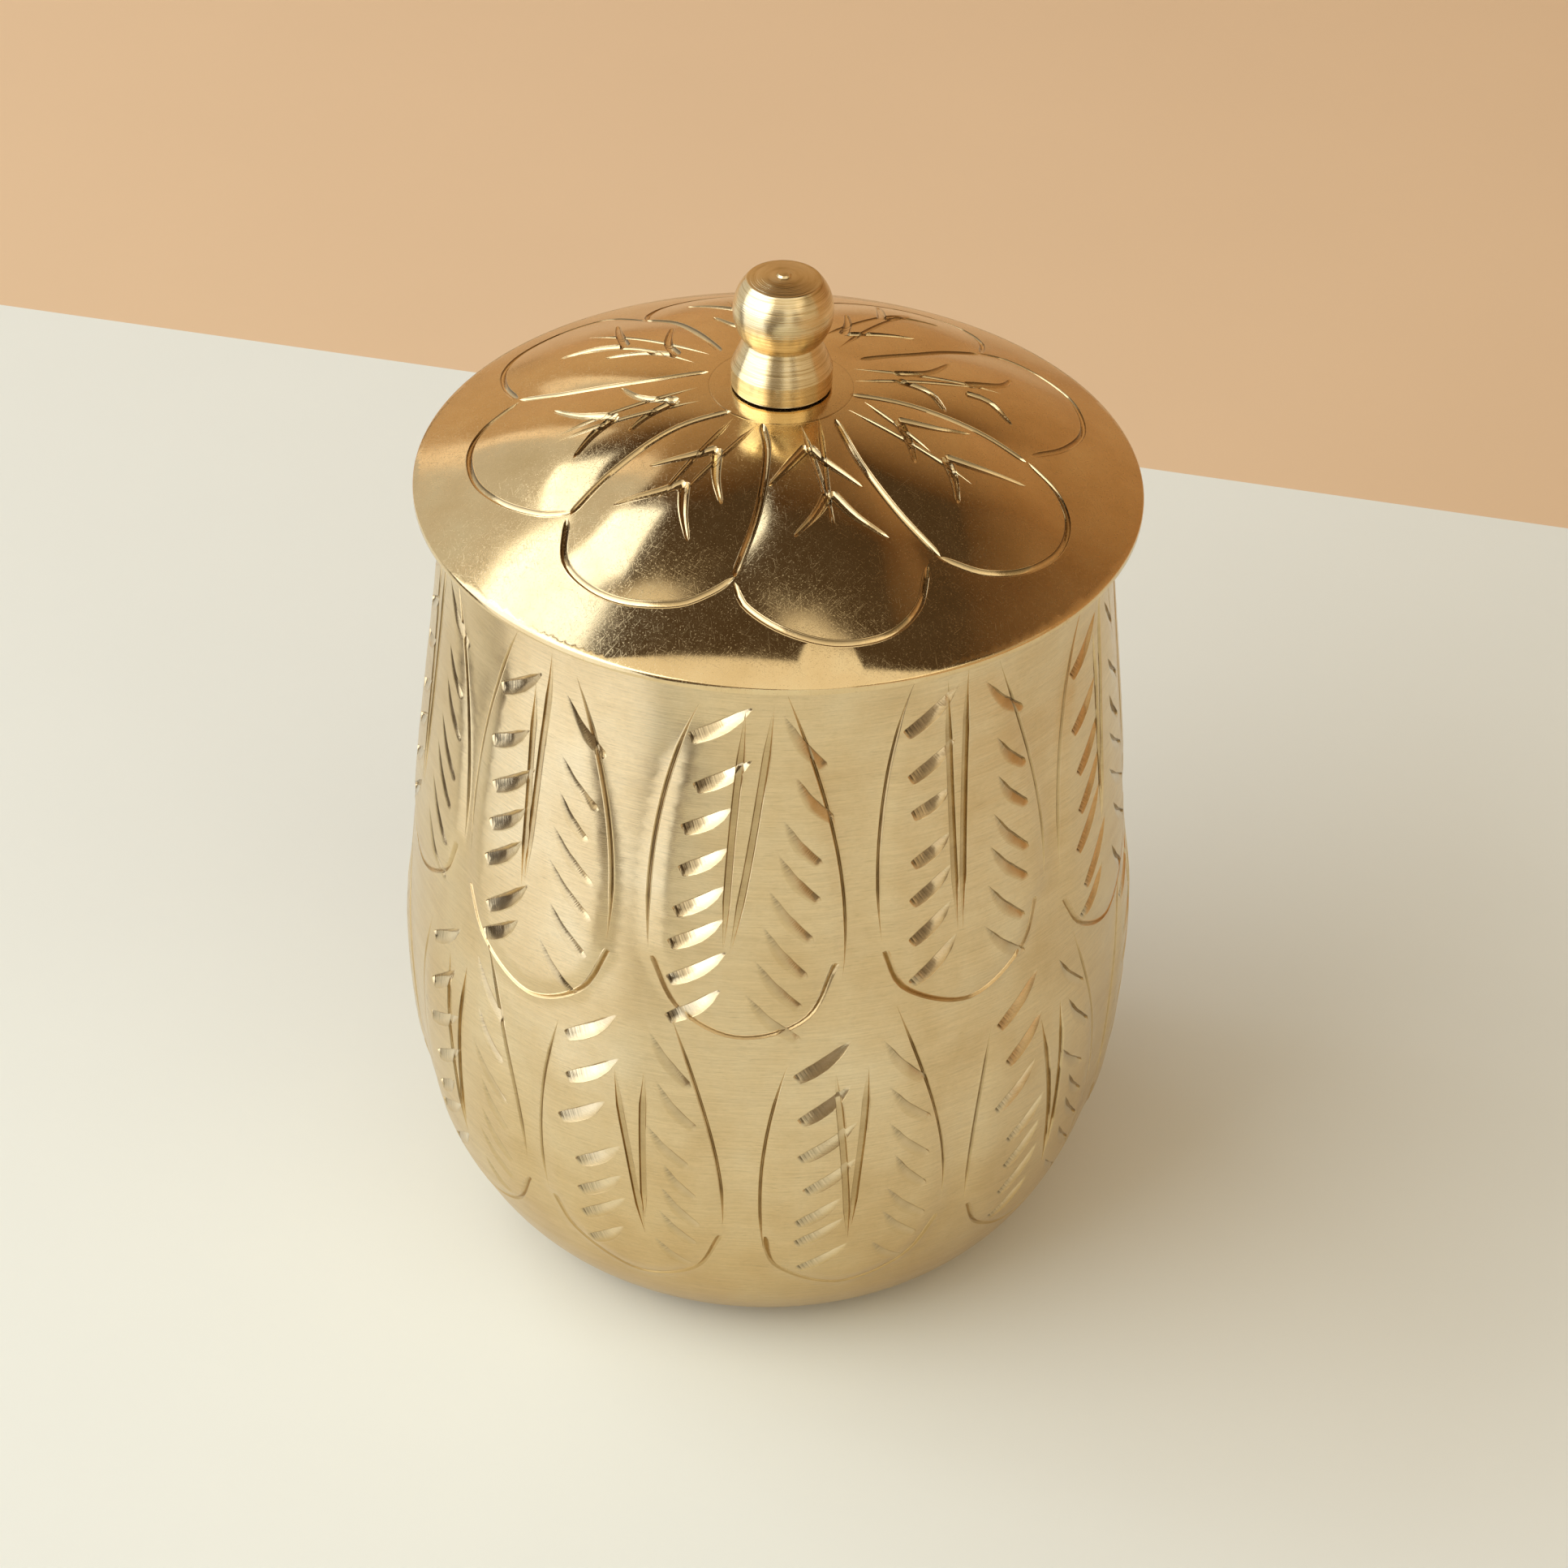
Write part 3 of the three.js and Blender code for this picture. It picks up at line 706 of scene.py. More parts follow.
# %% Five leaves
LEAVES = [
    {
        "sides": (
            ((-7.5, 6), (-13.2, 18), (-14.6, 33), (-13.3, 45.5)),
            ((4.7, 3.5), (9.5, 16), (15, 31), (13.1, 48.6)),
        ),
        "bowl": ((-12.8, 46.3), (-8.8, 53.7), (-0.7, 57.4), (8.2, 54.3), (12.3, 45.6)),
        "ribs": (((-1, 6.8), (-2.3, 25.6), (-3, 43.4)), ((3, 5.5), (0.2, 28.6), (-2.1, 44.2))),
        "left": (
            (-8.8, 11.7, 0.2, 5.8), (-7.7, 19, 0.2, 13.9), (-9.2, 25.6, -2.4, 21.3),
            (-9.3, 32, -2.7, 27.4), (-9.8, 38.5, -2.9, 33.3), (-10.3, 43.7, -3, 38.5),
            (-10.3, 49.5, -2.4, 43.5), (-10.3, 56, -3, 49.5),
        ),
        "right": (
            (4.2, 6.8, 10.5, 15.5), (6, 16, 11.5, 23.4), (4.6, 22.8, 9.9, 30), (3.9, 28, 9.8, 35.8),
            (2.7, 33.4, 8.9, 41.9), (2, 39, 8.2, 47.6), (1.1, 44.5, 7.6, 52.6), (0, 50, 7.6, 58.2),
        ),
    },
    {
        "sides": (
            ((-5.5, 4.5), (-11.5, 15), (-14.2, 30), (-13, 44)),
            ((5.4, 6.6), (10, 17), (14.4, 31), (12.6, 46.2)),
        ),
        "bowl": ((-12.5, 49), (-8.2, 55.7), (0.7, 59.6), (9.1, 55.2), (13, 47.3)),
        "ribs": (((-1.7, 11), (-1.5, 29), (-1.5, 43)), ((1.2, 5), (0.1, 23), (-1, 42.2))),
        "left": (
            (-8.8, 15.3, -0.5, 9.1), (-9.7, 24, -2.2, 18.7), (-8.6, 30.8, -0.6, 24.1),
            (-8.6, 36.9, -1.6, 30.7), (-8.9, 42.8, -1.9, 36.1), (-7.8, 49.9, -0.2, 42.3),
            (-8.3, 54.8, -1.5, 48.7),
        ),
        "right": (
            (3.6, 10, 10.7, 18.1), (3.6, 19.5, 10.2, 26.3), (3.8, 25.2, 9, 31.6),
            (2.9, 30.7, 10.2, 38.1), (2.6, 36.1, 10.2, 43.6), (3.2, 42.8, 9.8, 49.6),
            (2, 49.3, 8.2, 56.5),
        ),
    },
    {
        "sides": (
            ((-8.7, 3.6), (-12.5, 13), (-15, 28), (-13.2, 43.4)),
            ((5, 3.6), (9.5, 15), (15, 29), (13.8, 44)),
        ),
        "bowl": ((-12.9, 44.8), (-9.8, 51.5), (-0.1, 56), (8.9, 51.8), (12, 45.1)),
        "ribs": (((-3.5, 4.8), (-3, 21), (-2.2, 44.2)), ((-0.1, 3.8), (-0.9, 25.4), (-1.4, 44.2))),
        "left": (
            (-9.9, 11.8, -1.6, 5.9), (-9.3, 18.8, -2.1, 14), (-8.9, 24.4, -3, 21.3),
            (-8.9, 32, -3.1, 28.2), (-9.1, 38, -3, 33.3), (-9.2, 44.2, -3.1, 39),
            (-9.1, 50.9, -2.2, 44.4),
        ),
        "right": (
            (2.8, 7, 10.4, 14.6), (4.8, 16.4, 10.4, 23), (4.8, 22.3, 10.4, 29.3),
            (3.9, 27.9, 10.3, 36.3), (3.1, 32.7, 10, 40.9), (2.7, 38.8, 9.3, 47),
            (1.9, 45, 9.7, 53.4),
        ),
    },
    {
        "sides": (
            ((-10.7, 11.5), (-13, 21), (-14.3, 33), (-13.3, 44.7)),
            ((5.5, 5), (9.5, 16), (13.8, 29), (13.2, 42.4)),
        ),
        "bowl": ((-12.5, 45.5), (-9.2, 52), (-0.2, 56.9), (8.9, 53), (12.9, 44.4)),
        "ribs": (((-1.9, 16.2), (0.4, 30.5), (2.3, 46.2)), ((2.3, 15.4), (2.4, 31.7), (2.4, 43))),
        "left": (
            (-9.4, 13.8, -1.9, 7.4), (-8.8, 20.6, -1.3, 14.5), (-9.9, 28.3, -2.9, 22.2),
            (-7.4, 35.6, -0.6, 29.5), (-7.4, 41.4, -0.6, 35.2), (-7.4, 46.4, -0.2, 39.6),
            (-7, 52, -0.9, 46),
        ),
        "right": (
            (2.5, 8.4, 8.6, 16.8), (3.8, 16.4, 9.6, 23.9), (2.8, 24.3, 8.6, 31), (5, 30.7, 9.5, 37),
            (4.7, 35.3, 10, 42.7), (4.4, 40.3, 9.5, 46.7), (3.4, 46.4, 8.6, 52),
        ),
    },
    {
        "sides": (
            ((-9.7, 11.7), (-12.8, 22), (-13.8, 34), (-12.3, 47)),
            ((4.9, 3.9), (9, 16), (13.6, 30), (13, 42)),
        ),
        "bowl": ((-12.3, 44), (-10.2, 51.2), (-0.9, 56.6), (8.5, 52.9), (12.9, 45)),
        "ribs": (((-3.4, 13.5), (-1.7, 31.7), (-0.7, 45.3)), ((1.1, 13), (0, 31.7), (-0.4, 42.7))),
        "left": (
            (-8.7, 14.5, -1.2, 8.4), (-8, 21.7, -1.2, 15.8), (-8, 28.5, -0.3, 22.2),
            (-7, 34.8, -0.2, 28.8), (-8, 41.3, -2, 36.2), (-8, 45.5, -1.4, 40.4),
            (-7.4, 51.5, -0.4, 46),
        ),
        "right": (
            (3, 9.2, 9.3, 17.9), (3.9, 17.2, 10, 24.7), (3.9, 23.3, 10, 31.4),
            (4.9, 29.4, 9.9, 37.2), (4, 35.5, 10.4, 43.6), (3.8, 40.2, 9.5, 47.5),
            (2.8, 46.7, 7.9, 52.5),
        ),
    },
]
leaf_pitch_degrees = 36
front_degrees = -90
# Each row: the depth of its line below the lid's rim, the angle of its first leaf from the front, small
# turns of each leaf from its even place, and which of the drawn leaves stands at each place.
ROWS = (
    (0.0, -3.1, (0, 0.4, -0.5, 0.8, -0.6, 0.3, -0.8, 0.5, 2.2, -0.8), (0, 2, 1, 0, 2, 1, 4, 0, 2, 1)),
    (50.0, 15.0, (0, -0.9, 0.6, -0.4, 0.7, -0.6, 0.4, -0.7, 2.0, 0.2), (4, 3, 2, 4, 3, 1, 4, 3, 4, 3)),
)
print(sum(len(leaf["left"]) + len(leaf["right"]) + 5 for leaf in LEAVES), "cuts in the five drawn leaves")

# %% [markdown]
# ## The cup's skin
#
# The cup's wall is unrolled so that shapes keep their angles: across is the angle times 50 mm, and
# down is each small step along the wall times 50 mm over the radius there. Bent round a circle, that
# sheet becomes a flat ring on which the skin can be triangulated without a seam.

# %% The cup's wall, unrolled
pattern_radius = 50.0
wall_samples = 400
belly = (belly_radius, belly_height)
lower_wall = handled((foot_radius, 0), belly, lower_wall_shares, wall_samples)
upper_wall = handled(belly, (mouth_radius, jar_height), upper_wall_shares, wall_samples)
wall_down = np.vstack([lower_wall, upper_wall[1:]])[::-1]
wall_steps = np.hypot(*np.diff(wall_down, axis=0).T)
mid_radius = (wall_down[1:, 0] + wall_down[:-1, 0]) / 2
unrolled = np.concatenate([[0], np.cumsum(wall_steps * pattern_radius / mid_radius)])
wall_way = np.gradient(wall_down, axis=0)
wall_way /= np.hypot(*wall_way.T)[:, None]
dome = handled((seat_radius, dome_rise), (lid_radius, 0), dome_shares, wall_samples)
rim_level = jar_height + seat_gap + sheet - float(np.interp(mouth_radius, *dome.T))
print("lid's rim at", round(rim_level, 2), "mm; unrolled wall", round(unrolled[-1], 1), "mm deep")


def down_from_depth(depth):
    """Place down the unrolled wall of a depth below the lid's rim."""
    return np.interp(rim_level - np.asarray(depth), wall_down[::-1, 1], unrolled[::-1])


# %% [markdown]
# A leaf is more than its lines. The metal inside it was punched up from behind, so it stands about half
# a millimetre proud in a soft pillow. It rises from a little outside the outline to further inside it.
# With s from 0 to 1 over that width, its height is the pillow height times s^2 (3 - 2 s), and it fades
# out towards the leaf's open top.

# %% Cuts and pillow of one leaf
pillow_height, burr_height = 0.6, 0.12
pillow_outside, pillow_inside, pillow_fade = 1.8, 3.0, 14.0
LEAF_CUTS = {
    "side": {"step": 1.6, "width": 0.56, "depth": 0.28, "section": "graver", "taper": "both_ends_fine"},
    "bowl": {"step": 1.3, "width": 0.8, "depth": 0.34, "section": "round_graver", "taper": "blunt_ends"},
    "rib": {"step": 2.0, "width": 1.0, "depth": 0.36, "section": "scorper", "taper": "both_ends_fine"},
    "left": {"step": 1.0, "width": 2.0, "depth": 0.75, "section": "chisel", "taper": "broad_start"},
    "right": {"step": 1.0, "width": 1.7, "depth": 0.36, "section": "spoon", "taper": "broad_end"},
}
cut_bow = {"left": 0.45, "right": 0.7}
side_points = 24


def leaf_paths(leaf, row_depth, jitter):
    """The strokes of a leaf as (kind, path), unrolled. Each point is moved down the wall from its
    depth below the rim. The jitter shifts and tilts the chisel cuts a little."""
    strokes = [("side", bezier(side, side_points)) for side in leaf["sides"]]
    strokes.append(("bowl", smooth_path(leaf["bowl"])))
    strokes += [("rib", smooth_path(rib)) for rib in leaf["ribs"]]
    for hand in ("left", "right"):
        for place, (x0, y0, x1, y1) in enumerate(leaf[hand]):
            shift = jitter[place % len(jitter)]
            start = (x0 + shift[0], y0 + shift[1])
            end = (x1 + shift[2], y1 + shift[3])
            strokes.append((hand, smooth_path(bowed(start, end, cut_bow[hand]))))
    return [
        (kind, np.column_stack([path[:, 0], down_from_depth(path[:, 1] + row_depth)]))
        for kind, path in strokes
    ]


def leaf_cuts(paths):
    """The cuts along a leaf's paths. The unrolled pattern is larger than the metal where the wall
    draws in, so the width grows by the same factor."""
    cuts = []
    for kind, path in paths:
        growth = pattern_radius / np.interp(path[:, 1].mean(), unrolled, wall_down[:, 0])
        tool = dict(LEAF_CUTS[kind])
        tool["width"] *= growth
        cuts.append(cut(path, **tool))
    return cuts


def inside(points, outline):
    """Whether each point is inside a closed outline, by counting the edges to its right."""
    a, b = outline, np.roll(outline, -1, axis=0)
    x, y = points[:, :1], points[:, 1:]
    crosses = (a[:, 1] > y) != (b[:, 1] > y)
    rise = np.where(b[:, 1] == a[:, 1], tiny, b[:, 1] - a[:, 1])
    return (crosses & (x < a[:, 0] + (y - a[:, 1]) * (b[:, 0] - a[:, 0]) / rise)).sum(1) % 2 == 1


def pillow(points, paths):
    """Height of the metal pushed up inside a leaf."""
    left, right, bowl = paths[0][1], paths[1][1], paths[2][1]
    outline = np.vstack([left, bowl[1:-1], right[::-1]])
    distance = np.hypot(*nearest(points, outline)[2].T)
    distance = np.where(inside(points, outline), distance, -distance)
    share = np.clip((distance + pillow_outside) / (pillow_outside + pillow_inside), 0, 1)
    fade = np.clip((points[:, 1] - max(left[0, 1], right[0, 1])) / pillow_fade, 0, 1)
    return pillow_height * share**2 * (3 - 2 * share) * fade**2 * (3 - 2 * fade)


# %% [markdown]
# Each row starts near the front and repeats the drawn leaves round the cup. Near the front the chisel
# cuts stay as drawn. Further round, seeded draws shift and tilt them a little, so that no two leaves
# are alike.

# %% All leaves round the cup
seed = 7
back_from_degrees = 45
back_jitter = 0.45
jitter_rows = 8
leaf_top_depth = 2
draw = np.random.default_rng(seed)
leaves = []
for row_depth, first_degrees, turns, chosen in ROWS:
    for place, (turn, which) in enumerate(zip(turns, chosen)):
        from_front = first_degrees + place * leaf_pitch_degrees + turn
        at_back = back_from_degrees < from_front % 360 < 360 - back_from_degrees
        axis = math.radians(from_front + front_degrees)
        jitter = draw.uniform(-1, 1, (jitter_rows, 4)) * (back_jitter if at_back else 0)
        paths = leaf_paths(LEAVES[which], row_depth, jitter)
        top = float(down_from_depth(row_depth + leaf_top_depth))
        leaves.append((axis, paths, leaf_cuts(paths), top))
print(len(leaves), "leaves,", sum(len(leaf[2]) for leaf in leaves), "cuts")

# %% [markdown]
# The rails of all the cuts go onto the unrolled sheet, with an even spread of points in staggered rows
# that keeps clear of them. The sheet is then bent into the flat ring and triangulated in one go.


# %% Skin of the cup
def bend_flat(across, down):
    """From the unrolled sheet to the flat ring: radius exp(down / 50 mm) at angle across / 50 mm."""
    radius = np.exp(down / pattern_radius)
    angle = across / pattern_radius
    return np.stack([radius * np.cos(angle), radius * np.sin(angle)], -1)


grids = []
for axis, _, cuts, _ in leaves:
    for one_cut in cuts:
        grid = rails(one_cut)
        grids.append(np.stack([grid[..., 0] + axis * pattern_radius, grid[..., 1]], -1))
sheet_points, sheet_pairs = rail_edges(grids)
# Rows that lie this share of a column's width apart give nearly even triangles.
row_share = 0.87
jar_columns = 240
cup_clearance = 0.62
circumference = full_turn * pattern_radius
column_width = circumference / jar_columns
row_count = int(unrolled[-1] / (column_width * row_share))
rows, columns = np.mgrid[1:row_count, 0:jar_columns]
across = (columns + rows % 2 / 2) * column_width
down = rows / row_count * unrolled[-1]
sheet_points[:, 0] %= circumference
spread = keep_clear(np.column_stack([across.ravel(), down.ravel()]), sheet_points, cup_clearance)
flat, triangles, mouth_ring, foot_ring = ring_skin(
    1.0,
    math.exp(unrolled[-1] / pattern_radius),
    jar_columns,
    jar_columns,
    bend_flat(*sheet_points.T),
    sheet_pairs,
    bend_flat(*spread.T),
)
print("cup's skin:", len(flat), "points,", len(triangles), "triangles")

# %% [markdown]
# Every point of the skin has a place on the sheet. It moves out with the pillows and in with the
# cuts. The lines and the chisel's facets are worked out apart, because only a facet gets a painted
# highlight and a smoother finish, and the deeper of the two counts. The whole skin lies a little inside
# the solid's wall, so that the pillows and the lips of the cuts end at it.


# %% Heights of the cup's skin
leaf_half_width, leaf_above, leaf_below = 20, 8, 85
fade_in_depth, fade_out_depth = 16, 106


def on_leaf(angle, down, leaf_axis, top):
    """Which points lie on or near a leaf, and their places in its frame."""
    across = ((angle - leaf_axis + math.pi) % full_turn - math.pi) * pattern_radius
    beside = np.abs(across) < leaf_half_width
    near = np.flatnonzero(beside & (down > top - leaf_above) & (down < top + leaf_below))
    return near, np.column_stack([across[near], down[near]])


def raised(angle, down):
    """How far the uncut metal stands out from the wall: the leaves' pillows, less the height of the
    pillows and of the burrs on them, which fades out towards the mouth and the foot."""
    height = np.zeros(len(angle))
    for axis, paths, _, top in leaves:
        near, local = on_leaf(angle, down, axis, top)
        height[near] = np.maximum(height[near], pillow(local, paths))
    fade_in = np.clip(down / down_from_depth(fade_in_depth), 0, 1)
    fade_out = np.clip((unrolled[-1] - down) / (unrolled[-1] - down_from_depth(fade_out_depth)), 0, 1)
    return height - (pillow_height + burr_height) * np.minimum(fade_in, fade_out)


angle = np.arctan2(flat[:, 1], flat[:, 0])
down = pattern_radius * np.log(np.hypot(*flat.T))
tarnish_and_painted_shade, line_depth, facet_depth, along = np.zeros((4, len(flat)))
for axis, _, cuts, top in leaves:
    near, local = on_leaf(angle, down, axis, top)
    for deep, chosen in ((line_depth, cuts[:5]), (facet_depth, cuts[5:])):
        here, stain_and_shade, way = carve(local, chosen)
        if deep is facet_depth:
            along[near] = np.where(np.abs(here) >= np.abs(deep[near]), way, along[near])
        deep[near] = np.where(np.abs(here) > np.abs(deep[near]), here, deep[near])
        tarnish_and_painted_shade[near] = np.maximum(tarnish_and_painted_shade[near], stain_and_shade)
cut_depth = np.where(np.abs(facet_depth) > np.abs(line_depth), facet_depth, line_depth)
uncut = raised(angle, down)
# A lip ends half a burr's height short of the solid's wall, or at the uncut metal if that is higher.
out = np.minimum(uncut - cut_depth, np.maximum(uncut, -burr_height / 2))
radius, height = (np.interp(down, unrolled, wall_down[:, axis]) for axis in (0, 1))
way_radius, way_height = (np.interp(down, unrolled, wall_way[:, axis]) for axis in (0, 1))
ring_radius = radius - out * way_height
level = height + out * way_radius
cup_skin = np.column_stack([ring_radius * np.cos(angle), ring_radius * np.sin(angle), level])

# %% [markdown]
# Smooth shading would smear each cut's steep sides over the large faces beside it. So every uncut point
# gets the wall's true direction, worked out from how the uncut height changes a short way across and
# down. A face takes these directions only where all its points are uncut, so cuts keep crisp edges.

# %% Directions of the uncut wall
nudge = 0.15
end_margin = 0.01
uncut_limit = 0.002
stretch = pattern_radius / radius / (2 * nudge)
turn = nudge / pattern_radius
slope_across = (raised(angle + turn, down) - raised(angle - turn, down)) * stretch
slope_down = (raised(angle, down + nudge) - raised(angle, down - nudge)) * stretch
normal_radius = -way_height - slope_down * way_radius
normal_height = way_radius - slope_down * way_height
wall_normals = np.column_stack([
    normal_radius * np.cos(angle) + slope_across * np.sin(angle),
    normal_radius * np.sin(angle) - slope_across * np.cos(angle),
    normal_height,
])
wall_normals /= np.linalg.norm(wall_normals, axis=1)[:, None]
at_end = (down < end_margin) | (down > unrolled[-1] - end_margin)
wall_normals[(np.abs(cut_depth) > uncut_limit) | at_end] = 0
print("relief from", round(out.min(), 2), "to", round(out.max(), 2), "mm")

# %% [markdown]
# The cup's lip is rolled over to the inside, which follows the outside at one sheet's thickness and is
# set in as far as the skin is. The foot is a narrow flat ring round a shallow hollow. These rows close
# the skin into one solid piece.

# %% The cup as one closed piece
cup = Build()
cup.add(cup_skin)
cup.faces += triangles.tolist()
foot_edge, foot_bevel = 0.35, 0.2
hollow_radius = foot_radius - foot_ring_width - 2 * foot_recess
base = [
    (foot_radius - foot_edge, 0.0),
    (foot_radius - foot_ring_width + foot_edge, 0.0),
    (foot_radius - foot_ring_width - foot_edge, foot_bevel),
    (foot_radius - foot_ring_width - foot_recess, foot_recess),
]
base += [(share * hollow_radius, foot_recess) for share in (1, 0.75, 0.5, 0.25)]
cup.turn(foot_ring, [*base, (0, foot_recess)])
inner = wall_down + sheet * np.column_stack([wall_way[:, 1], -wall_way[:, 0]])
set_in = pillow_height + burr_height
set_in_levels = (0, 20, 105, 122)
inner[:, 0] -= np.interp(wall_down[:, 1], set_in_levels, (0, set_in, set_in, 0))
floor_level = foot_recess + sheet
corner = 1.5
every_row = 22
plain = (inner[:, 1] > floor_level + corner) & (inner[:, 1] < jar_height - sheet / 2)
inner = inner[plain][::every_row]
lip_turns = np.radians((25, 50, 75, 105, 130, 155, 180))
lip = [
    (mouth_radius - sheet / 2 * (1 - math.cos(a)), jar_height - sheet / 4 * (1 - math.sin(a)))
    for a in lip_turns
]
well_radius = inner[-1, 0]
well = [
    (well_radius - 2 * corner * share, floor_level + corner * (1 - share) ** 2)
    for share in (0.3, 0.6, 1)
]
well += [((well_radius - 2 * corner) * share, floor_level) for share in (0.75, 0.5, 0.25)]
cup.turn(mouth_ring, [*lip, *inner.tolist(), *well, (0, floor_level)], flip=True)
bright_depth = 0.15
chisel_share = np.where(facet_depth > 0, facet_depth / bright_depth, 0)
finish_piece(
    cup,
    "engraved_cup",
    "jar",
    "jar_body",
    SATIN,
    shares={"tarnish_and_painted_shade": tarnish_and_painted_shade, "facet": chisel_share, "along": along * MM},
    normals=wall_normals,
)

# %% [markdown]
# ## The lid
#
# The lid is a shallow spun dome. Its flower has eight petals, each pressed up from below and bounded by
# two lines from the middle and a round stroke at its tip. The hand that drew it wandered, so the valleys
# between the petals are not evenly spaced. Places on the lid are millimetres right of and behind its
# middle, seen from above.

# %% The flower's strokes
VALLEYS = (
    ((-2.4, -9.6), (-1.6, -15.7), (-2.7, -25.7), (-5.4, -34.8)),
    ((7.3, -7.9), (10.7, -15.7), (15.7, -22.9), (21.4, -28.6)),
    ((9.3, -1.8), (17.9, -1.8), (26.8, -3.4), (33.3, -6.2)),
    ((10.7, 8.4), (17.9, 13.8), (22.9, 18.8), (27.4, 22.9)),
    ((1.4, 11.2), (2.2, 18), (3.6, 27), (5, 35.6)),
    ((-8.4, 9.3), (-12.1, 17.7), (-15.4, 24.3), (-19.3, 28.8)),
    ((-9.9, 3.2), (-18.8, 3.2), (-28.8, 5.2), (-36, 8.2)),
    ((-6.6, -6.8), (-14.3, -9.6), (-22.1, -15.7), (-27.4, -21.4)),
)
TIPS = (
    ((-5.4, -35.6), (-3.8, -39), (1.2, -42.3), (7.9, -43.6), (14.6, -41.6), (18.6, -36.8), (19.8, -30.4)),
    ((21.2, -28.7), (27.3, -29.2), (32.9, -26.8), (37.3, -21.8), (38.8, -15.7), (37.3, -10.1), (33.4, -6)),
    ((34, -4.4), (39, 1), (41.8, 8.2), (40.7, 16.6), (36.8, 21.9), (31.8, 24.6), (27.3, 23.4)),
    ((27.9, 24), (28.1, 29.9), (25.4, 35.6), (19.8, 39.4), (13.2, 40.2), (7.8, 38.4), (5.2, 35.4)),
    ((4.6, 35.8), (1.6, 39.8), (-5, 42), (-11.6, 41), (-16.8, 37.2), (-19, 32.6), (-19.2, 29)),
    ((-19.6, 28.9), (-24.9, 34.6), (-31, 32.7), (-36.6, 27.1), (-38.8, 21), (-38.3, 14.3), (-36.2, 8.6)),
    ((-36, 7.6), (-40.4, 3.2), (-42.1, -2.3), (-40.8, -9.6), (-36.8, -15.7), (-31.6, -19.8), (-27.4, -21.2)),
    ((-27.8, -22), (-27.7, -29), (-24.3, -34), (-19.3, -37.1), (-12.7, -38.2), (-8.2, -36.8), (-5.4, -34.9)),
)
# A twig: its two stems, then its barbs, each from its thick end at the stem to its fine end.
TWIGS = (
    (((-6, -8.1), (-15.7, -23.2)), ((-3, -9.9), (-12.7, -22.9)),
     ((-8.2, -14.6), (-11.6, -15.7), (-17.1, -16.6)), ((-8.2, -14.6), (-8.2, -20.1), (-7.4, -24.6)),
     ((-12.3, -20.7), (-15.4, -21.8), (-21.6, -22.3)), ((-12.3, -20.7), (-12.3, -25.7), (-11.6, -30.1))),
    (((2.7, -9.6), (7.6, -27.9)), ((5.1, -7.7), (7.1, -28.1)),
     ((3.7, -14), (1.2, -17.9), (-1.2, -21.2)), ((3.7, -14), (6.2, -16.8), (11, -20.4)),
     ((6.8, -22.3), (5.1, -26.2), (2.3, -29.8)), ((6.8, -22.3), (10.1, -25.7), (14.6, -28.1))),
    (((9, -5.4), (25.7, -16.2)), ((11.2, -3.1), (20.1, -11.8)),
     ((15.7, -6.2), (21.2, -6.2), (25.7, -4.9)), ((15.7, -6.2), (17.3, -10.7), (18.1, -14.6)),
     ((22, -12.3), (26.8, -12.6), (33.1, -12.3)), ((22, -12.3), (23.2, -15.7), (23.8, -20.1))),
    (((9.6, 5.1), (30.1, 7.3)), ((9.9, 1.8), (26.8, 6.6)),
     ((15.3, 5.4), (20.1, 7.7), (23.2, 12.7)), ((15.7, 3.8), (20.1, 2.1), (22.3, -1.2)),
     ((25.1, 6.6), (30.1, 9.9), (31.8, 13.8)), ((25.1, 4.3), (28.4, 3.8), (31.4, 0.4))),
    (((7.6, 10.8), (18.4, 31)), ((5.1, 14.3), (17.9, 31)),
     ((8.4, 16), (9, 20.2), (8.8, 25.1)), ((8.4, 16), (13.4, 17.7), (18.4, 19.3)),
     ((13.8, 24.9), (13.7, 29.3), (13.4, 35.8)), ((13.8, 24.9), (16.8, 27.7), (22.2, 29.9))),
    (((-2.2, 10.6), (-8, 30.2)), ((-4.6, 9.8), (-7.4, 30.4)),
     ((-3.9, 15.4), (-1.4, 19.4), (0.4, 24.2)), ((-3.9, 15.4), (-7.2, 18.3), (-9.8, 22.2)),
     ((-6, 24.1), (-3.6, 28.6), (-2, 33.6)), ((-6, 24.1), (-9.8, 27.6), (-13.6, 31))),
    (((-11.9, 6.2), (-21, 13.2), (-30.4, 16)), ((-9.9, 8.4), (-27.1, 21.9)),
     ((-14.3, 9), (-15.7, 13.2), (-15.4, 20.4)), ((-14.3, 9), (-18.8, 10.8), (-24.3, 11.6)),
     ((-21.6, 14.3), (-22.7, 19.9), (-23.2, 26)), ((-21.6, 14.3), (-26, 15.7), (-30.7, 16))),
    (((-11.3, -0.7), (-30.4, -7)), ((-10.8, -4), (-30.2, -8.2)),
     ((-13.8, -3.4), (-18.8, -1.8), (-21.8, 2.3)), ((-13.8, -3.4), (-17.7, -6.2), (-20.2, -9)),
     ((-21.9, -5.4), (-27.1, -3.4), (-30.8, 0.2)), ((-21.9, -5.4), (-24.9, -8.4), (-27.4, -12.1))),
)
print(len(VALLEYS), "valleys,", len(TIPS), "tips,", sum(len(twig) for twig in TWIGS), "strokes in twigs")

# %% [markdown]
# The height of the lid is its dome plus the petals. Across a petal the height is a parabola between
# its two valleys, and along it the height rises slowly from the middle of the lid and falls off fast at
# the tip, which is what bends the reflections there.

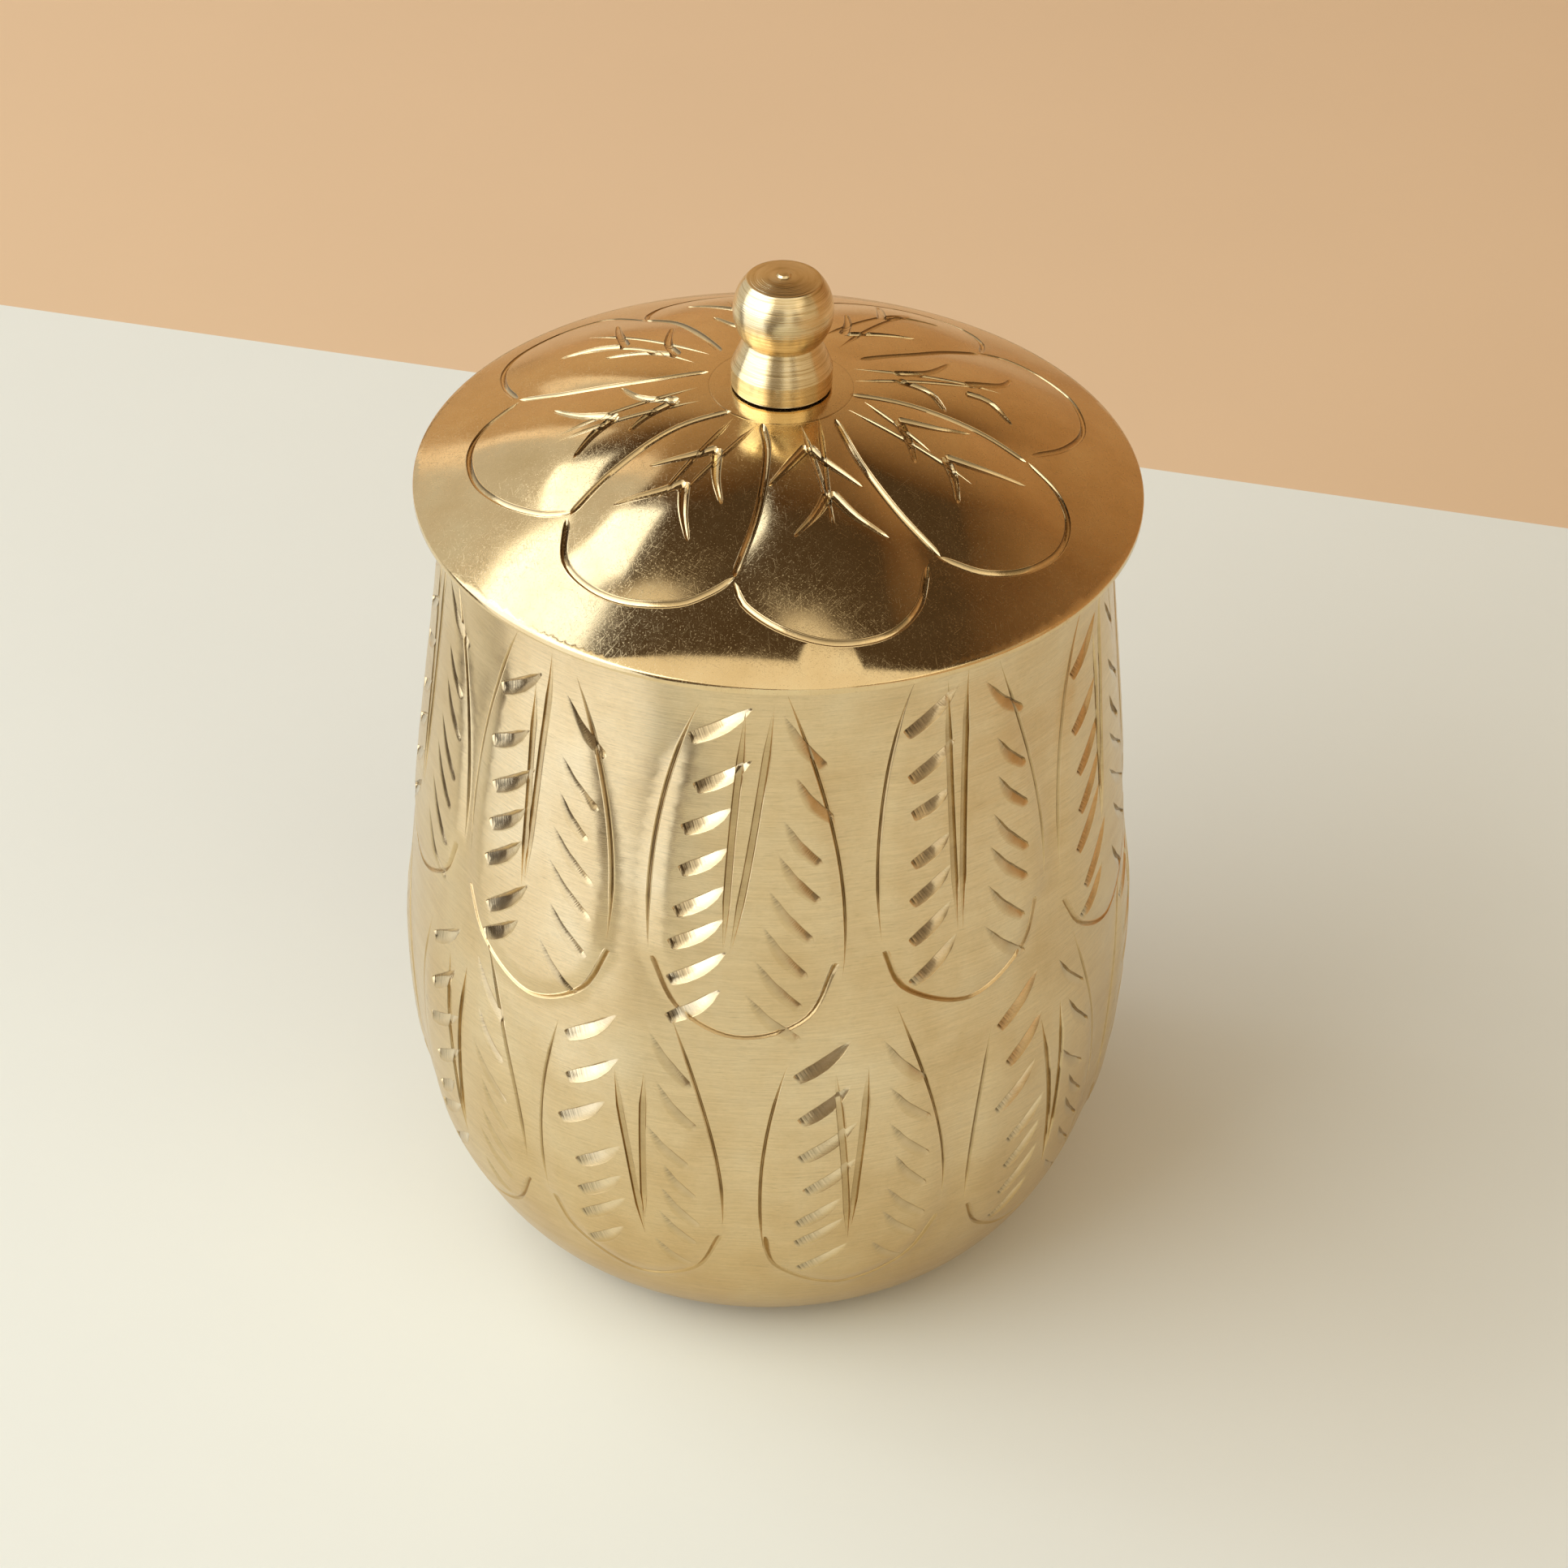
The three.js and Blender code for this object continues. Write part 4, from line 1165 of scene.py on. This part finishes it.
# %% Height of the lid's metal
petal_rise = 1.25
petal_start = 10.0
brim_roll, brim_start = 0.35, 43.0
valley_lines = []
for valley in VALLEYS:
    line = smooth_path(valley)
    turned = np.unwrap(np.arctan2(line[:, 1], line[:, 0]))
    valley_lines.append((np.hypot(*line.T), turned))
tip_samples = []
for place, tip in enumerate(TIPS):
    line = smooth_path(tip)
    start = valley_lines[place][1][-1]
    end = valley_lines[(place + 1) % len(VALLEYS)][1][-1]
    turned = (np.arctan2(line[:, 1], line[:, 0]) - start) % full_turn
    kept = (turned > 0) & (turned < (end - start) % full_turn)
    tip_samples.append(np.column_stack([(turned[kept] + start) % full_turn, np.hypot(*line[kept].T)]))
outline_table = np.vstack(tip_samples)
outline_table = outline_table[np.argsort(outline_table[:, 0])]
reach = outline_table[:, 1]
print("the petals' tips lie from", round(reach.min(), 1), "to", round(reach.max(), 1), "mm out")


def petals(x, y):
    """Height of the flower over the dome: rise x 4 s (1 - s) across x sin(pi l^1.5) along, with s from
    one valley to the next and l from the flower's middle to its outline."""
    distance, angle = np.hypot(x, y), np.arctan2(y, x)
    valley_angle = np.stack([np.interp(distance, *line) for line in valley_lines], 1)
    past = (angle[:, None] - valley_angle) % full_turn
    here = past.argmin(1)
    each = np.arange(len(x))
    pitch = (np.roll(valley_angle, -1, axis=1) - valley_angle) % full_turn
    across = past[each, here] / pitch[each, here]
    outline = np.interp(angle, *outline_table.T, period=full_turn)
    along = np.clip((distance - petal_start) / (outline - petal_start), 0, 1)
    crown = np.sin(np.pi * along**1.5)
    return petal_rise * np.clip(4 * across * (1 - across), 0, 1) * crown


def lid_height(x, y):
    """Height of the lid's upper side before it was engraved: dome, petals, and a brim that rolls down
    with the square of the distance past its start."""
    distance = np.hypot(x, y)
    past = np.clip((distance - brim_start) / (lid_radius - brim_start), 0, 1)
    return rim_level + np.interp(distance, *dome.T) + petals(x, y) - brim_roll * past**2


# %% [markdown]
# The lines of the flower and of its twigs are one kind of rounded groove with small lips, in four
# widths. Each barb starts broad at its stem and runs out fine. A thin scribed circle goes round the
# knob's foot.

# %% Cuts of the lid
LID_CUTS = {
    "valley": {"step": 1.2, "width": 0.95, "depth": 0.36, "section": "needle", "taper": "round_ends"},
    "tip": {"step": 1.1, "width": 0.8, "depth": 0.32, "section": "needle", "taper": "round_ends"},
    "stem": {"step": 1.6, "width": 0.7, "depth": 0.26, "section": "needle", "taper": "both_ends_fine"},
    "barb": {"step": 0.9, "width": 1.4, "depth": 0.5, "section": "needle", "taper": "thick_start"},
}


def lid_cut(kind, points):
    """One stroke on the lid."""
    return cut(smooth_path(points), **LID_CUTS[kind])


lid_cuts = [lid_cut("valley", valley) for valley in VALLEYS] + [lid_cut("tip", tip) for tip in TIPS]
for twig in TWIGS:
    lid_cuts += [lid_cut("stem", stroke) for stroke in twig[:2]]
    lid_cuts += [lid_cut("barb", stroke) for stroke in twig[2:]]
collar_radius = 9.8
collar_points = 120
collar_half_width, collar_depth = 0.16, 0.05
collar_turns = np.linspace(0, full_turn, collar_points)
collar = collar_radius * np.stack([np.cos(collar_turns), np.sin(collar_turns)], 1)
widths, depths = (np.full(collar_points, size) for size in (collar_half_width, collar_depth))
lid_cuts.append((collar, widths, depths, "scriber"))
print(len(lid_cuts), "strokes on the lid")

# %% [markdown]
# The polished lid shows every flaw, so its even spread of points is finer than the cup's: hexagonal
# rows of points 0.8 mm apart. The underside needs only a coarse spread, and shows the petals from
# behind as hollows, because the sheet has one thickness.


# %% Both sides of the lid
def hexagons(radius, spacing):
    """Points in staggered rows that fill a circle."""
    count = int(radius / spacing) + 2
    row, column = np.mgrid[-count : count + 1, -count : count + 1]
    x = (column + row % 2 / 2) * spacing
    y = row * spacing * math.sqrt(3) / 2
    return np.column_stack([x.ravel(), y.ravel()])


def between(points, inner, outer):
    """The points whose distance from the middle lies between two radii."""
    distance = np.hypot(*points.T)
    return points[(distance > inner) & (distance < outer)]


lid_columns, hole_columns = 300, 48
lid_edge = 0.16
skin_radius = lid_radius - lid_edge
top_spacing, top_margin, lid_clearance = 0.8, 0.5, 0.42
under_spacing, under_margin = 1.7, 1
lid_points, lid_pairs = rail_edges([rails(one_cut) for one_cut in lid_cuts])
spread = hexagons(lid_radius, top_spacing)
spread = between(spread, screw_hole_radius + top_margin, skin_radius - top_margin)
spread = keep_clear(spread, lid_points, lid_clearance)
flat, triangles, hole_ring, rim_ring = ring_skin(
    screw_hole_radius, skin_radius, hole_columns, lid_columns, lid_points, lid_pairs, spread
)
deep, tarnish_and_painted_shade, _ = carve(flat, lid_cuts)
top_side = np.column_stack([flat, lid_height(*flat.T) - deep])
x, y = flat.T
nudge = 0.05
edge_margin = 0.1
uncut_limit = 0.004
slope_x = (lid_height(x + nudge, y) - lid_height(x - nudge, y)) / (2 * nudge)
slope_y = (lid_height(x, y + nudge) - lid_height(x, y - nudge)) / (2 * nudge)
sheen_normals = np.column_stack([-slope_x, -slope_y, np.ones(len(x))])
sheen_normals /= np.linalg.norm(sheen_normals, axis=1)[:, None]
from_middle = np.hypot(x, y)
at_edge = (from_middle < screw_hole_radius + edge_margin) | (from_middle > skin_radius - edge_margin)
sheen_normals[(np.abs(deep) > uncut_limit) | at_edge] = 0
lid = Build()
lid.add(top_side)
lid.faces += triangles.tolist()
print("lid's upper skin:", len(flat), "points,", len(triangles), "triangles")

spread = hexagons(lid_radius, under_spacing)
spread = between(spread, screw_hole_radius + under_margin, skin_radius - under_margin)
no_points, no_pairs = np.zeros((0, 2)), np.zeros((0, 2), int)
under, under_triangles, under_hole, under_rim = ring_skin(
    screw_hole_radius, skin_radius, hole_columns, lid_columns, no_points, no_pairs, spread
)
under_side = np.column_stack([under, lid_height(*under.T) - sheet])
first = lid.add(under_side)[0]
lid.faces += (under_triangles[:, ::-1] + first).tolist()
brim_level = rim_level - brim_roll
rim = (
    (lid_radius - lid_edge / 3, brim_level - lid_edge / 3),
    (lid_radius, brim_level - lid_edge),
    (lid_radius, brim_level - sheet + lid_edge),
    (lid_radius - lid_edge / 3, brim_level - sheet + lid_edge / 3),
)
last = lid.turn(rim_ring, rim)
lid.strip(last, under_rim + first)
lid.strip(under_hole + first, hole_ring)
finish_piece(
    lid,
    "chased_lid",
    "lid",
    "lid_shell",
    POLISHED,
    shares={"tarnish_and_painted_shade": tarnish_and_painted_shade},
    normals=sheen_normals,
)

# %% [markdown]
# ## The knob
#
# The knob was turned from bar in one set-up: a short band, a cone up to a neck, and a ball whose top
# was faced off to a shallow cap, with the nib where it was parted off. Each facing cut left rings. A
# lathe surface is the natural way: a profile of radius and height, carried round the axis, with the
# rings as a small wave along the profile.

# %% Knob
knob_foot_radius, knob_foot_height = 6.75, 0.14
knob_band_radius, knob_band_top = 6.9, 2.9
knob_neck_radius, knob_ball_radius, knob_ball_centre = 5.2, 6.8, 11.4
knob_cap_radius, knob_cap_rise, knob_pip_radius, knob_pip_height = 5.0, 0.65, 0.95, 0.25
knob_columns = 96
groove_pitch = 0.3
profile_step = 0.075
neck_angle = -math.acos(knob_neck_radius / knob_ball_radius)
cap_angle = math.acos(knob_cap_radius / knob_ball_radius)


def fine_line(start, end, step):
    """Points from start to end about one step apart, without the last."""
    start, end = np.asarray(start, float), np.asarray(end, float)
    count = max(int(np.hypot(*(end - start)) / step), 1)
    return start + np.linspace(0, 1, count, endpoint=False)[:, None] * (end - start)


def grooves(profile, depths):
    """Tool grooves along a profile. Each pitch holds one narrow groove: its depth, a drawn share squared,
    times sin(pi s)^4 with s from 0 to 1 across the pitch."""
    lengths = lengths_along(profile)
    cell = (lengths / groove_pitch).astype(int)
    shares = draw.uniform(0.2, 1, cell.max() + 1) ** 2
    return depths * shares[cell] * np.sin(np.pi * (lengths / groove_pitch - cell)) ** 4


ball_turns = np.arange(neck_angle, cap_angle, profile_step / knob_ball_radius)
ball = knob_ball_radius * np.column_stack([np.cos(ball_turns), np.sin(ball_turns)])
ball[:, 1] += knob_ball_centre
ball_foot, cap_edge = ball[0], ball[-1]
band_edge, edge_step = 0.18, 0.1
cap_groove, cap_fall = 0.25, 0.05
cap_top = cap_edge[1] + knob_cap_rise
band_foot = (knob_band_radius, knob_foot_height + band_edge)
band_top = (knob_band_radius, knob_band_top)
side = np.vstack([
    fine_line((knob_foot_radius, 0), (knob_foot_radius, knob_foot_height), edge_step),
    fine_line((knob_band_radius - band_edge, knob_foot_height), band_foot, edge_step),
    fine_line(band_foot, band_top, profile_step),
    fine_line(band_top, ball_foot, profile_step),
    ball,
])
cap_radii = np.arange(cap_edge[0] - cap_groove, knob_pip_radius, -profile_step)
cap_heights = cap_top - knob_cap_rise * (cap_radii / cap_edge[0]) ** 2 - cap_fall
cap = np.column_stack([cap_radii, cap_heights])
# The rings are deepest on top, where the cut was faced off, and finest on the band.
groove_heights, side_grooves = (1, 3, 7, 10, 15), (0.004, 0.016, 0.016, 0.012, 0.03)
cap_groove_depth = 0.07
side[:, 0] -= grooves(side, np.interp(side[:, 1], groove_heights, side_grooves))
cap[:, 1] -= grooves(cap, np.full(len(cap), cap_groove_depth))
pip = (
    (knob_pip_radius, cap_top - cap_fall),
    (0.8, cap_top + 0.8 * knob_pip_height),
    (0.4, cap_top + knob_pip_height),
)
cap = np.vstack([cap, pip])
profile = np.vstack([side, cap])
hole_depth = 7.8
knob = Build()
unit = ring_points(1, knob_columns)
first_ring = knob.add(np.column_stack([unit * screw_hole_radius, np.full(knob_columns, knob_bottom)]))
outside = [(radius, knob_bottom + height) for radius, height in profile]
knob.turn(first_ring, [*outside, (0, knob_bottom + cap_top + knob_pip_height)], flip=True)
knob.turn(first_ring, [(screw_hole_radius, knob_bottom + hole_depth), (0, knob_bottom + hole_depth)])
finish_piece(knob, "turned_knob", "lid", "knob", TURNED, crease=40)

# %% [markdown]
# ## The hidden parts
#
# Under the lid are the ring that centres it in the mouth, and the screw and washer that hold the knob.
# They show only when the lid is lifted or seen from below. Each is a lathe surface with broken edges,
# since no real edge is perfectly sharp.


# %% Turned rings
edge_middle_share = 0.3


def turned_ring(corners, columns, edge):
    """A ring turned from an outline of radius and height. Each corner is cut back by the edge, with a
    point between that lies a share of the way back to both sides."""
    p = np.asarray(corners, float)
    before, after = np.roll(p, 1, axis=0) - p, np.roll(p, -1, axis=0) - p
    before *= edge / np.hypot(*before.T)[:, None]
    after *= edge / np.hypot(*after.T)[:, None]
    outline = np.stack([p + before, p + (before + after) * edge_middle_share, p + after], 1).reshape(-1, 2)
    ring = Build()
    unit = ring_points(1, columns)
    first = ring.add(np.column_stack([unit * outline[0, 0], np.full(columns, outline[0, 1])]))
    last = ring.turn(first, outline[1:], flip=True)
    ring.strip(last, first, flip=True)
    return ring


ring_outer = ring_high.x / MM
ring_wall = 1.0
ring_columns, ring_edge = 180, 0.18
ring_bottom, ring_top = ring_low.z / MM, ring_high.z / MM
ring_fall = float(np.interp(ring_outer - ring_wall, *dome.T) - np.interp(ring_outer, *dome.T))
ring_outline = (
    (ring_outer - ring_wall, ring_bottom),
    (ring_outer, ring_bottom),
    (ring_outer, ring_top - ring_fall),
    (ring_outer - ring_wall, ring_top),
)
finish_piece(
    turned_ring(ring_outline, ring_columns, ring_edge),
    "locating_ring",
    "lid",
    "lid_locating_ring",
    POLISHED,
)
washer_bottom, washer_top, washer_radius = washer_low.z / MM, washer_high.z / MM, washer_high.x / MM
washer_columns, washer_edge = 72, 0.12
washer_outline = (
    (screw_hole_radius, washer_bottom),
    (washer_radius, washer_bottom),
    (washer_radius, washer_top),
    (screw_hole_radius, washer_top),
)
finish_piece(
    turned_ring(washer_outline, washer_columns, washer_edge),
    "flat_washer",
    "lid",
    "screw_washer",
    PLATED,
)

# %% [markdown]
# The screw's own solid already has the right shape, slot included, so it only gets its material.

# %% Screw
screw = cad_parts["knob_screw"]
for material_slot in screw.material_slots:
    material_slot.material = PLATED
screw_levels = [round(corner.z / MM, 2) for corner in (screw_low, screw_high)]
print("screw keeps its solid,", len(screw.data.polygons), "faces, between", screw_levels, "mm")

# %% [markdown]
# ## Floor, backdrop and light
#
# The jar stands on a pale table that ends behind it, in front of a plain tan backdrop. Polished metal
# looks like what stands round it, so the room matters as much as the material. A tall window wall is
# at the left and goes on below the table, whose left edge is near. More tan paper lies to the right. A
# pale wall and a pale ceiling are in front, with narrow dark gaps between them, and the room is dim
# straight above. The curved metal draws all of these together: the gaps are the dark bands on the knob
# and the dark facets, and the dim ceiling is the brown in the petals.

# %% Floor and backdrop
floor_half = 3000.0
table_left, table_right, table_front = -450.0, 300.0, -1200.0
table_bend = (-125.0, -86.0)
edge_middle = 213.0
edge_turn = math.radians(-12.2)
backdrop_distance = 1500.0
backdrop_top = 3600.0
backdrop_left = -950.0
side_wall_distance = 1750.0
side_wall_front = -150.0


def stage_sheet(name, corners, material):
    """A flat sheet that isn't part of the object."""
    mesh = bpy.data.meshes.new(name)
    mesh.from_pydata((np.asarray(corners, float) * MM).tolist(), [], [range(len(corners))])
    mesh.materials.append(material)
    sheet_object = bpy.data.objects.new(name, mesh)
    bpy.context.collection.objects.link(sheet_object)


def matt(name, colour):
    """A plain matt paint with a faint mottle."""
    material, tree, surface = new_material(name, Roughness=0.75)
    place = add(tree, "ShaderNodeTexCoord").outputs["Object"]
    mottle = marks(tree, place, (60, 60, 60), Detail=2.0)
    greys = ((0.3, 0.985), (0.7, 1.0))
    shade = add(tree, "ShaderNodeValToRGB", {"Fac": mottle}, stops=greys).outputs["Color"]
    layer = {"Factor": 1.0, "A": srgb(colour), "B": shade}
    tinted = add(tree, "ShaderNodeMix", layer, data_type="RGBA", blend_type="MULTIPLY")
    tree.links.new(tinted.outputs["Result"], surface.inputs["Base Color"])
    return material


pale_matt = matt("pale_matt_table", "#F2F7F3")
tan_matt = matt("tan_matt_backdrop", "#ECCEAA")
wall_matt = matt("tan_matt_wall", "#DCB98C")
slope = math.tan(edge_turn)
edge_left = (table_left, edge_middle + slope * table_left, 0)
edge_right = (table_right, edge_middle + slope * table_right, 0)
edge_far_right = (floor_half, edge_middle + slope * floor_half, 0)
table_near = [(table_bend[0], table_front, 0), (table_right, table_front, 0)]
stage_sheet("table", [*table_near, edge_right, edge_left, (*table_bend, 0)], pale_matt)
stage_sheet(
    "floor_right",
    ((table_right, table_front, 0), (floor_half, table_front, 0), edge_far_right, edge_right),
    wall_matt,
)
stage_sheet(
    "backdrop_floor",
    (edge_left, edge_far_right, (floor_half, backdrop_distance, 0), (table_left, backdrop_distance, 0)),
    tan_matt,
)
stage_sheet(
    "backdrop_wall",
    (
        (backdrop_left, backdrop_distance, 0),
        (floor_half, backdrop_distance, 0),
        (floor_half, backdrop_distance, backdrop_top),
        (backdrop_left, backdrop_distance, backdrop_top),
    ),
    wall_matt,
)
stage_sheet(
    "side_wall",
    (
        (side_wall_distance, backdrop_distance, 0),
        (side_wall_distance, side_wall_front, 0),
        (side_wall_distance, side_wall_front, backdrop_top),
        (side_wall_distance, backdrop_distance, backdrop_top),
    ),
    wall_matt,
)


# %% [markdown]
# Each lamp is a flat area that stands for one bright part of the room, because its place and its size
# are what polished metal shows. The window is two lamps: a bright upper part, and a dimmer lower part
# that the cup's wall sees past the near left edge of the table.


# %% Lamps
def softbox(name, azimuth, elevation, width, height, glow, colour, distance=1600.0):
    """A lamp that faces the jar. Its place and size are angles in degrees as the jar sees them, the
    azimuth from the front and positive to the right. Its power is pi times its area times its glow,
    where a glow of 1 is white."""
    across, up = math.radians(azimuth), math.radians(elevation)
    way = Vector((math.sin(across) * math.cos(up), -math.cos(across) * math.cos(up), math.sin(up)))
    data = bpy.data.lights.new(name, "AREA")
    data.shape = "RECTANGLE"
    data.size, data.size_y = (
        2 * distance * MM * math.tan(math.radians(angle) / 2) for angle in (width, height)
    )
    data.energy = math.pi * data.size * data.size_y * glow
    data.color = srgb(colour)[:3]
    lamp = bpy.data.objects.new(name, data)
    lamp.location = way * distance * MM
    lamp.rotation_mode = "QUATERNION"
    lamp.rotation_quaternion = way.to_track_quat("Z", "Y")
    lamp.visible_camera = False
    bpy.context.collection.objects.link(lamp)
    print(name, round(data.energy, 1), "W")


softbox("window_left", -72, 26, 66, 60, 2.36, "#F4FAFF")
softbox("window_low", -68, -24, 56, 40, 1.25, "#F4FAFF")
softbox("skylight_left", -119, 56, 20, 18, 2.2, "#F4FAFF")
softbox("wall_left_back", -129, 14, 42, 72, 0.58, "#FFFCF0")
softbox("ceiling_front", -12, 57, 100, 54, 0.92, "#FFF5DE")
softbox("wall_front", 22, 13, 124, 30, 0.2, "#FFEBCC")
softbox("wall_front_left", -35, 15, 14, 29, 0.8, "#FFFBEA")
softbox("door_front", 13, 15, 18, 29, 0.6, "#FFFBEA")
softbox("wall_front_right", 61, 24, 46, 48, 0.38, "#FFE9C0")

# %% [markdown]
# Where no lamp or sheet stands, the metal mirrors a dim brown room. The camera sees a pale wall there.

# %% World
world = bpy.data.worlds.new("studio")
bpy.context.scene.world = world
world.use_nodes = True
sky = world.node_tree
to_camera = add(sky, "ShaderNodeLightPath").outputs["Is Camera Ray"]
layer = {"Factor": to_camera, "A": srgb("#50402E"), "B": srgb("#E6E4DC")}
room = add(sky, "ShaderNodeMix", layer, data_type="RGBA")
sky.links.new(room.outputs["Result"], sky.nodes["Background"].inputs["Color"])

scene = bpy.context.scene
scene.view_settings.view_transform = "Standard"
print("world:", world.name, "and view transform:", scene.view_settings.view_transform)

# %% [markdown]
# Last, the view layer is updated.

# %% Finish
bpy.context.view_layer.update()
